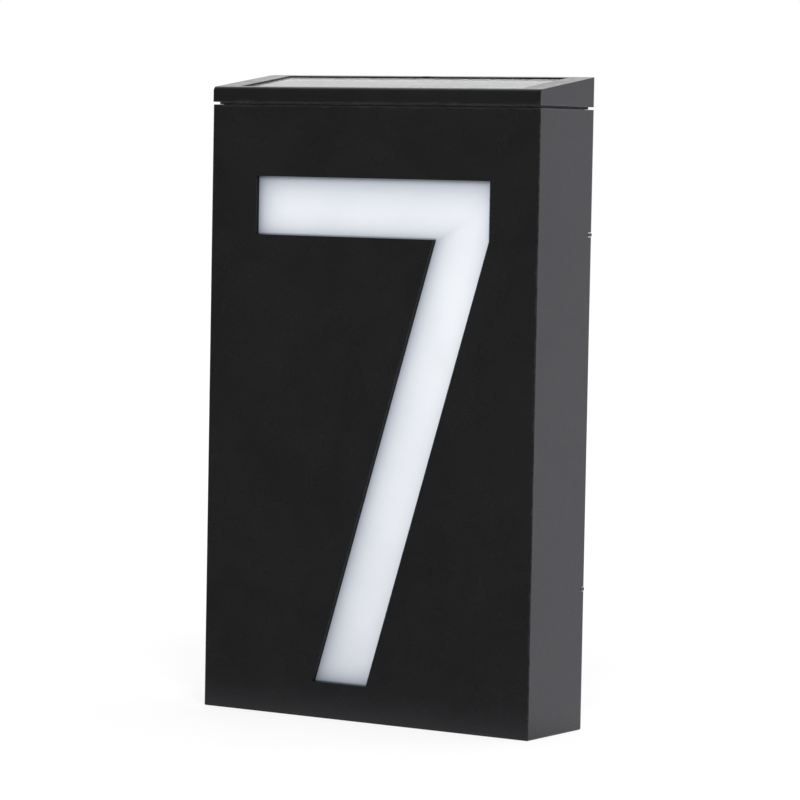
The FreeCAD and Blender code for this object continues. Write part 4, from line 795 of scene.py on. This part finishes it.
def dress_battery():
    """A sleeved cell with a pale ring printed near its button, and its two bare ends."""
    low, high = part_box("battery_cell")
    radius, length = (high.z - low.z) / 2, high.x - low.x
    shoulder = length - BUTTON_HEIGHT
    middle = shift((low.x, (low.y + high.y) / 2, (low.z + high.z) / 2))
    place = middle @ Matrix.Rotation(math.pi / 2, 4, "Y")
    sleeve = bmesh.new()
    turned(sleeve, sleeve_outline(radius, shoulder), CELL_SIDES, place)
    ring = [low.x + share * length for share in PRINTED_RING]
    finish_piece("battery_sleeved", sleeve, "head", "battery_sleeve",
                 printed_sleeve("battery_green", BATTERY_GREEN, grey(0.8), ring), "battery_cell")
    ends = bmesh.new()
    rim = radius - FLAT_RIM
    turned(ends, [(0, FLAT_FACE), (rim, FLAT_FACE), (rim + FLAT_FLARE, FLAT_BACK),
                  (0, FLAT_BACK)], END_SIDES, place)
    button = BUTTON_RADIUS
    skirt = [(button + wide, shoulder - deep) for wide, deep in (SKIRT_FOOT, SKIRT_TOP)]
    turned(ends, [(0, shoulder - SKIRT_FOOT[1]), *skirt, (button, shoulder),
                  (button, length - BUTTON_ROUND), (button - BUTTON_ROUND, length), (0, length)],
           END_SIDES, place)
    finish_piece("battery_ends", ends, "head", "contact_nickel", CONTACT_NICKEL)


SPRING_WIRE = 0.35 * MM
SPRING_WIDE = 4.6 * MM
SPRING_NARROW = 2.6 * MM
SPRING_TURNS = 2.5
SPRING_STEPS = 28
CONTACT_WALL = 0.4 * MM
CONTACT_SIDE = 11.0 * MM
CONTACT_EDGE = 0.12 * MM
TAB_WIDTH = 3.0 * MM
TAB_LAP = 0.5 * MM
TAB_EDGE = 0.1 * MM
SPRING_TAB_OFF = 3.2 * MM


def contact_form(form, left, right, middle, tab, top):
    """A square contact plate that faces along x, with its solder tab up to the top."""
    half = CONTACT_SIDE / 2
    block(form, (left, middle.y - half, middle.z - half),
          (right, middle.y + half, middle.z + half), CONTACT_EDGE)
    block(form, (left, tab - TAB_WIDTH / 2, middle.z + half - TAB_LAP),
          (right, tab + TAB_WIDTH / 2, top), TAB_EDGE)


def dress_contacts():
    """The stamped plate with its cone of wire, and the plain plate at the button end."""
    low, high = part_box("battery_spring")
    middle = sum(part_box("battery_cell"), Vector()) / 2
    form = bmesh.new()
    room = high.x - low.x - CONTACT_WALL - 2 * SPRING_WIRE
    coil = wound(form, SPRING_WIDE, SPRING_WIRE, SPRING_TURNS, room, SPRING_STEPS)
    for vert in coil:
        share = min(1.0, max(0.0, vert.co.z / (room + 2 * SPRING_WIRE)))
        flat = Vector((vert.co.x, vert.co.y, 0))
        vert.co += flat.normalized() * (SPRING_NARROW - SPRING_WIDE) * share
    stand = shift((low.x + CONTACT_WALL, middle.y, middle.z))
    move(form, coil, stand @ Matrix.Rotation(math.pi / 2, 4, "Y"))
    contact_form(form, low.x, low.x + CONTACT_WALL, middle, middle.y + SPRING_TAB_OFF, high.z)
    finish_piece("spring_contact", form, "head", "contact_nickel", CONTACT_NICKEL,
                 "battery_spring")
    low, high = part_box("battery_plate")
    form = bmesh.new()
    contact_form(form, low.x, high.x, middle, middle.y, high.z)
    finish_piece("button_contact", form, "head", "contact_nickel", CONTACT_NICKEL, "battery_plate")


# ---- lamps and board parts ----

LAMP_COUNT = 6
LAMP_LENGTH = 3.5 * MM
LAMP_END = 0.25 * MM
LAMP_RIM = 0.35 * MM
LAMP_FLARE = 0.15 * MM
LAMP_WINDOW_DEPTH = 0.3 * MM
GEL_DOME = (0.95 * MM, 0.8 * MM, 0.22 * MM)
GEL_SIDES = 24
LAMP_FOOT = 0.5 * MM
LAMP_FOOT_INSET = 0.3 * MM
LAMP_FOOT_HEIGHT = 0.35 * MM
LAMP_FOOT_EDGE = 0.05 * MM


def dress_lamps():
    """Six lamp packages: a white case with a sunk, gel-filled window, and tinned feet."""
    low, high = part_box("leds")
    pitch = (high.x - low.x - LAMP_LENGTH) / (LAMP_COUNT - 1)
    cases, gel, feet = bmesh.new(), bmesh.new(), bmesh.new()
    for number in range(LAMP_COUNT):
        left = low.x + number * pitch
        made = block(cases, (left + LAMP_END, low.y, low.z),
                     (left + LAMP_LENGTH - LAMP_END, high.y, high.z))
        window = end_face(made, min)
        bmesh.ops.inset_region(cases, faces=[window], thickness=LAMP_RIM, depth=0)
        bmesh.ops.inset_region(cases, faces=[window], thickness=LAMP_FLARE,
                               depth=-LAMP_WINDOW_DEPTH)
        middle = Vector((left + LAMP_LENGTH / 2, (low.y + high.y) / 2, low.z + LAMP_WINDOW_DEPTH))
        dome = bmesh.ops.create_uvsphere(gel, u_segments=GEL_SIDES, v_segments=GEL_SIDES // 2,
                                         radius=1.0)["verts"]
        move(gel, dome, shift(middle) @ Matrix.Diagonal((*GEL_DOME, 1)))
        for foot in (left, left + LAMP_LENGTH - LAMP_FOOT):
            block(feet, (foot, low.y + LAMP_FOOT_INSET, high.z - LAMP_FOOT_HEIGHT),
                  (foot + LAMP_FOOT, high.y - LAMP_FOOT_INSET, high.z), LAMP_FOOT_EDGE)
    finish_piece("lamp_cases", cases, "head", "white_plastic", LAMP_WHITE, "leds")
    finish_piece("lamp_gel", gel, "head", "lamp_yellow", PHOSPHOR)
    finish_piece("lamp_feet", feet, "head", "tinned_ribbon", TINNED)


CHIP_LEGS = 4
CHIP_BODY = 3.9 * MM
CHIP_INSET = 0.1 * MM
CHIP_LIFT = 0.12 * MM
CHIP_DRAFT = (0.93, 0.94, 1)
CHIP_EDGE = 0.08 * MM
LEG_THICK = 0.12 * MM
LEG_RUN = 0.57 * MM
LEG_DROP = 0.75 * MM
LEG_WIDTH = 0.4 * MM
LEG_INSET = 0.6 * MM
LEG_LET_IN = 0.02 * MM
# where the leg's two faces bend down and out again, in shares of its run
LEG_TOP_BENDS = (0.45, 0.62)
LEG_LOW_BENDS = (0.36, 0.55)


def chip_leg(form, place):
    """A gull-wing leg: out from the case, down and out along the board."""
    top_bend, top_foot = (LEG_RUN * share for share in LEG_TOP_BENDS)
    low_bend, low_foot = (LEG_RUN * share for share in LEG_LOW_BENDS)
    under = LEG_DROP - LEG_THICK
    profile = [(0, LEG_DROP), (top_bend, LEG_DROP), (top_foot, LEG_THICK), (LEG_RUN, LEG_THICK),
               (LEG_RUN, 0), (low_foot, 0), (low_bend, under), (0, under)]
    face = form.faces.new([form.verts.new((out, -LEG_WIDTH / 2, up)) for out, up in profile])
    made = bmesh.ops.extrude_face_region(form, geom=[face])["geom"]
    moved = [item for item in made if isinstance(item, bmesh.types.BMVert)]
    move(form, moved, shift((0, LEG_WIDTH, 0)))
    move(form, list(face.verts) + moved, place)


def dress_chip():
    """The charge chip: a moulded case that narrows to its top, with legs on both sides."""
    low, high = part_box("charge_chip")
    middle = (low + high) / 2
    half = CHIP_BODY / 2
    form = bmesh.new()
    made = block(form, (middle.x - half, low.y + CHIP_INSET, low.z + CHIP_LIFT),
                 (middle.x + half, high.y - CHIP_INSET, high.z))
    bmesh.ops.scale(form, verts=end_face(made, max).verts, vec=CHIP_DRAFT, space=shift(-middle))
    round_edges(form, list(form.edges), CHIP_EDGE)
    finish_piece("chip_case", form, "head", "chip_black", CHIP_BLACK, "charge_chip")
    legs = bmesh.new()
    pitch = (high.y - low.y - 2 * LEG_INSET) / (CHIP_LEGS - 1)
    for side, turn in ((-1, math.pi), (1, 0.0)):
        for number in range(CHIP_LEGS):
            spot = Vector((middle.x + side * (half - LEG_LET_IN),
                           low.y + LEG_INSET + number * pitch, low.z))
            chip_leg(legs, shift(spot) @ Matrix.Rotation(turn, 4, "Z"))
    finish_piece("chip_legs", legs, "head", "tinned_ribbon", TINNED)


DRUM_FLANGE = 1.0 * MM
DRUM_WAIST = 2.45 * MM
WINDING_WIRE = 0.14 * MM
WINDING_LAYERS = 3
WINDING_STEPS = 24
WINDING_SIDES = 6
# a layer's rise over the one below it, in radii of the wire
LAYER_RISE = 1.8


def dress_inductor():
    """Enamelled wire wound close between the flanges of the drum core."""
    low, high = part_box("inductor")
    middle = (low + high) / 2
    room = high.z - low.z - 2 * DRUM_FLANGE - 2 * WINDING_WIRE
    turns = round(room / (2 * WINDING_WIRE))
    stand = shift((middle.x, middle.y, low.z + DRUM_FLANGE))
    form = bmesh.new()
    for layer in range(WINDING_LAYERS):
        radius = DRUM_WAIST + (1 + LAYER_RISE * layer) * WINDING_WIRE
        coil = wound(form, radius, WINDING_WIRE, turns, room, WINDING_STEPS, WINDING_SIDES)
        move(form, coil, stand)
    finish_piece("inductor_winding", form, "head", "ferrite_grey", COPPER)


CAN_SIDES = 40
CAN_EDGE = 0.2 * MM
CAN_CRIMP = 0.28 * MM
CAN_CRIMP_FOOT = 0.8 * MM
CAN_CRIMP_TOP = 1.5 * MM
# the rolled rim, from the side over its crest to the sunk top: how far in and how far down
CAN_RIM = ((0.0, 0.3 * MM), (CAN_EDGE, 0.05 * MM), (0.5 * MM, 0.0), (0.65 * MM, 0.15 * MM))
CAN_LID_INSET = 0.68 * MM
CAN_LID_TOP = 0.08 * MM
CAN_LID_FOOT = 0.14 * MM
CAN_BLUE = (0.012, 0.02, 0.09, 1.0)
# where the printed stripe starts, in shares of the can's radius
CAN_STRIPE = 0.62


def dress_capacitor():
    """A can in its sleeve: crimped near the foot, with a bare top sunk in a rolled rim."""
    low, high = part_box("capacitor")
    middle = (low + high) / 2
    radius, height = (high.x - low.x) / 2, high.z - low.z
    place = shift((middle.x, middle.y, low.z))
    crimp_middle = (CAN_CRIMP_FOOT + CAN_CRIMP_TOP) / 2
    rim = [(radius - inward, height - down) for inward, down in CAN_RIM]
    form = bmesh.new()
    turned(form, [(0, 0), (radius - CAN_EDGE, 0), (radius, CAN_EDGE), (radius, CAN_CRIMP_FOOT),
                  (radius - CAN_CRIMP, crimp_middle), (radius, CAN_CRIMP_TOP), *rim,
                  (0, rim[-1][1])], CAN_SIDES, place)
    stripe = (middle.x + radius * CAN_STRIPE, high.x)
    finish_piece("capacitor_sleeved", form, "head", "can_sleeve",
                 printed_sleeve("capacitor_blue", CAN_BLUE, grey(0.55), stripe), "capacitor")
    edge, foot, top = radius - CAN_LID_INSET, height - CAN_LID_FOOT, height - CAN_LID_TOP
    lid = bmesh.new()
    turned(lid, [(0, foot), (edge, foot), (edge, top), (0, top)], CAN_SIDES, place)
    finish_piece("capacitor_lid", lid, "head", "contact_nickel", CONTACT_NICKEL)


RESISTOR = Vector((1.6 * MM, 0.8 * MM, 0.5 * MM))
RESISTOR_CAP = 0.32 * MM
RESISTOR_INSET = Vector((0.3 * MM, 0.02 * MM, 0.02 * MM))
RESISTOR_PITCH = (2.6 * MM, 1.7 * MM)
BODY_EDGE = 0.04 * MM
CAP_EDGE = 0.06 * MM
# places from the can's side and from the board's corner, and the counts across and deep
BESIDE_CAN = (1.6 * MM, 3.0 * MM, 2, 3)
BEHIND_DRUM = (4.9 * MM, 8.6 * MM, 1, 2)


def dress_board_parts():
    """Small resistors in rows beside the capacitor and behind the inductor."""
    low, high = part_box("circuit_board")
    can_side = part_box("capacitor")[1].x
    ceramic, caps = bmesh.new(), bmesh.new()
    for start, (off, front, across_count, deep_count) in ((can_side, BESIDE_CAN),
                                                          (low.x, BEHIND_DRUM)):
        for across in range(across_count):
            for deep in range(deep_count):
                corner = Vector((start + off + across * RESISTOR_PITCH[0],
                                 low.y + front + deep * RESISTOR_PITCH[1], high.z))
                end = corner + RESISTOR
                block(ceramic, corner + RESISTOR_INSET, end - RESISTOR_INSET, BODY_EDGE)
                block(caps, corner, (corner.x + RESISTOR_CAP, end.y, end.z), CAP_EDGE)
                block(caps, (end.x - RESISTOR_CAP, corner.y, corner.z), end, CAP_EDGE)
    finish_piece("resistor_bodies", ceramic, "head", "chip_black", CHIP_BLACK)
    finish_piece("resistor_caps", caps, "head", "tinned_ribbon", TINNED)


# ---- the finish of each node ----

SCREW_STEEL = plated_metal("screw_steel", (0.62, 0.62, 0.60, 1.0))
CONTACT_NICKEL = plated_metal("contact_nickel", (0.66, 0.63, 0.57, 1.0), rough=(0.2, 0.34))
TINNED = tinned_ribbon()
CHIP_BLACK = moulded_plastic("chip_black", grey(0.018), grey(0.05), gloss=(0.45, 0.6),
                             pebble=9000.0, depth=0.01 * MM, dust=0.05)
LAMP_WHITE = moulded_plastic("lamp_white", grey(0.8), grey(0.9), gloss=(0.3, 0.42),
                             pebble=9000.0, depth=0.003 * MM, dust=0.0, variation=0.06)
# gel that is deeper yellow in places, and drawn copper under clear enamel
PHOSPHOR_TONES = ((0.86, 0.62, 0.10, 1.0), (0.95, 0.80, 0.28, 1.0))
PHOSPHOR = even_finish("lamp_yellow", 6000.0, PHOSPHOR_TONES, (0.2, 0.34), 0.01 * MM, IOR=1.5,
                       Coat_Weight=0.4)
COPPER_TONES = ((0.42, 0.14, 0.05, 1.0), (0.70, 0.28, 0.12, 1.0))
COPPER = even_finish("enamelled_copper", 1800.0, COPPER_TONES, (0.2, 0.36), 0.004 * MM,
                     Metallic=1.0, Coat_Weight=0.6)


def paint(finish, *nodes):
    """Give the nodes' material slots one finish."""
    for name in nodes:
        for holder in NODES[name].material_slots:
            holder.material = finish


def paint_nodes():
    for name in ("housing", "rear_cover", "head_tray", "battery_door"):
        paint(satin_black(name), name)
    paint(satin_black("head_frame", HEAD_GLOSS), "head_frame")
    paint(opal_white(), "diffuser")
    paint(moulded_plastic("glossy_white", (0.84, 0.84, 0.82, 1.0), grey(0.9), gloss=(0.2, 0.32),
                          depth=0.004 * MM, node="reflector", dust=0.05, variation=0.05),
          "reflector")
    paint(foam("seal_foam", grey(0.16)), "head_seal")
    paint(foam("tape_foam", grey(0.14)), "panel_tape")
    paint(clear_plastic("panel_clear", (0.02, 0.09)), "panel_cover")
    paint(clear_plastic("window_clear", (0.03, 0.14)), "led_window")
    paint(cell_blue(), "solar_cells")
    paint(TINNED, "cell_ribbons")
    paint(lacquered_board("board_white", grey(0.72), grey(0.80)), "panel_board", "led_board")
    paint(lacquered_board("board_green", (0.012, 0.09, 0.035, 1.0), (0.03, 0.17, 0.07, 1.0)),
          "circuit_board")
    paint(moulded_plastic("ferrite_grey", (0.045, 0.045, 0.04725, 1.0), grey(0.12), gloss=(0.4, 0.6),
                          pebble=6000.0, depth=0.03 * MM, node="inductor"), "inductor")
    paint(plated_metal("switch_steel", (0.60, 0.59, 0.55, 1.0)), "switch_body")
    paint(moulded_plastic("knob_grey", grey(0.16), grey(0.3), gloss=(0.38, 0.5),
                          node="switch_knob"), "switch_knob")
    paint(moulded_plastic("lead_pvc", (0.42, 0.02, 0.015, 1.0), (0.6, 0.1, 0.08, 1.0),
                          gloss=(0.25, 0.36), pebble=6000.0, depth=0.008 * MM),
          "panel_leads", "battery_leads", "lamp_leads")


# ---- light, floor and camera ----

CAMERA_PLACE = (0.66994, -1.04371, 0.08148)
CAMERA_TURN = (86.397, -1.061, 33.105)
CAMERA_LENS = 178.0
CAMERA_FILM = 36.0
KEY_PLACE = Vector((0.85, -1.15, 1.25))
KEY_SIZE = 0.9
KEY_POWER = 26.0
ROOM_FRONT_LIGHT = 0.17
ROOM_BACK_LIGHT = 1.02
ROOM_LEFT_LIGHT = 0.82
ROOM_LEFT_TINT = (1.0, 1.0, 0.99, 1.0)
ROOM_RIGHT_TINT = (0.96, 0.965, 1.04, 1.0)
# where the room turns from front to back and left to right, in shares of a heading
ROOM_DEPTH_TURN = (-0.45, 0.45)
ROOM_SIDE_TURN = (-0.6, 0.4)
ROOM_LOW_LIGHT = 0.92
ROOM_HIGH_LIGHT = 1.06
WHITE = grey(1.0)


def ray_paths(tree):
    """The outputs for a ray's path, and a mask of what the camera sees, also through plastic."""
    path = tree.nodes.new("ShaderNodeLightPath").outputs
    return path, maths(tree, "MAXIMUM", path["Is Camera Ray"], path["Is Transmission Ray"])


def light_world():
    """A pale room behind the object and a dim one in front; the camera sees plain white."""
    world = bpy.data.worlds.new("room")
    SCENE.world = world
    world.use_nodes = True
    tree = world.node_tree
    tree.nodes.clear()
    across, deep, up = split(tree, add_node(tree, "TexCoord"))
    level = stretch(tree, deep, *ROOM_DEPTH_TURN, ROOM_FRONT_LIGHT, ROOM_BACK_LIGHT)
    level = product(tree, level, stretch(tree, up, -1.0, 1.0, ROOM_LOW_LIGHT, ROOM_HIGH_LIGHT,
                                         smooth=False))
    side = stretch(tree, across, *ROOM_SIDE_TURN)
    level = product(tree, level, stretch(tree, side, 0.0, 1.0, ROOM_LEFT_LIGHT, 1.0))
    room = add_node(tree, "Background", mix_colours(tree, side, ROOM_LEFT_TINT, ROOM_RIGHT_TINT),
                    level)
    white = add_node(tree, "Background", WHITE, 1.0)
    both = add_node(tree, "MixShader", ray_paths(tree)[1], room, white)
    end = tree.nodes.new("ShaderNodeOutputWorld")
    join(tree, end.inputs["Surface"], both)


def add_key_light():
    lamp = bpy.data.lights.new("key", "AREA")
    lamp.shape = "DISK"
    lamp.size = KEY_SIZE
    lamp.energy = KEY_POWER
    key = add_object("key", lamp)
    key.location = KEY_PLACE
    key.rotation_euler = (-KEY_PLACE).to_track_quat("-Z", "Y").to_euler()


FLOOR_SIZE = 3.0
FLOOR_DROP = 0.05 * MM
FLOOR_TONES = (0.90, 0.94)
FLOOR_SHADOW = 0.30
FLOOR_WHITE = 1.08
SHADOW_NEAR = 0.12
SHADOW_FAR = 0.45
UNDER_GAP = 1.0 * MM
# from where to where the floor's mirror image turns from the dim room to the pale one
MIRROR_TURN = (-0.10, 0.03)


def add_floor():
    """A pale floor that shows white and keeps a part of the object's shadow.

    It is open from below, and to the underside that stands on it.
    """
    form = bmesh.new()
    bmesh.ops.create_grid(form, x_segments=1, y_segments=1, size=FLOOR_SIZE)
    level = cad_box[0][2] - FLOOR_DROP
    move(form, form.verts, shift((0, 0, level)))
    material, tree, shader = new_finish("floor_white")
    place = object_place(tree)
    mottle = patches(tree, place, (40.0, 4.0), levels=FLOOR_TONES)
    set_surface(tree, shader, Base_Color=mottle, Roughness=0.8, Specular_IOR_Level=0.2)
    path, seen = ray_paths(tree)
    white = add_node(tree, "Emission", WHITE, FLOOR_WHITE)
    away = add_node(tree, "VectorMath", place, out=1, operation="LENGTH")
    share = product(tree, seen, stretch(tree, away, SHADOW_NEAR, SHADOW_FAR, 1 - FLOOR_SHADOW, 1.0))
    shown = add_node(tree, "MixShader", share, shader.outputs[0], white)
    deep = split(tree, place)[1]
    mirrored = stretch(tree, deep, *MIRROR_TURN, ROOM_FRONT_LIGHT, ROOM_BACK_LIGHT)
    sheen = add_node(tree, "Emission", ROOM_RIGHT_TINT, mirrored)
    both = add_node(tree, "MixShader", path["Is Glossy Ray"], shown, sheen)
    near = product(tree, maths(tree, "LESS_THAN", path["Ray Length"], UNDER_GAP),
                   less(tree, 1.0, path["Is Camera Ray"]))
    below = add_node(tree, "NewGeometry", out=6)
    clear = add_node(tree, "BsdfTransparent", WHITE)
    open_floor = add_node(tree, "MixShader", maths(tree, "MAXIMUM", near, below), both, clear)
    join(tree, tree.nodes["Material Output"].inputs["Surface"], open_floor)
    floor = add_object("floor", mesh_of("floor", form))
    floor.data.materials.append(material)


def add_camera():
    lens = bpy.data.cameras.new("camera")
    lens.lens = CAMERA_LENS
    lens.sensor_width = CAMERA_FILM
    camera = add_object("camera", lens)
    camera.location = CAMERA_PLACE
    camera.rotation_euler = [math.radians(angle) for angle in CAMERA_TURN]
    SCENE.camera = camera


paint_nodes()
dress_screws()
dress_battery()
dress_contacts()
dress_lamps()
dress_chip()
dress_inductor()
dress_capacitor()
dress_board_parts()
light_world()
add_key_light()
add_floor()
add_camera()
SCENE.view_settings.view_transform = "Standard"
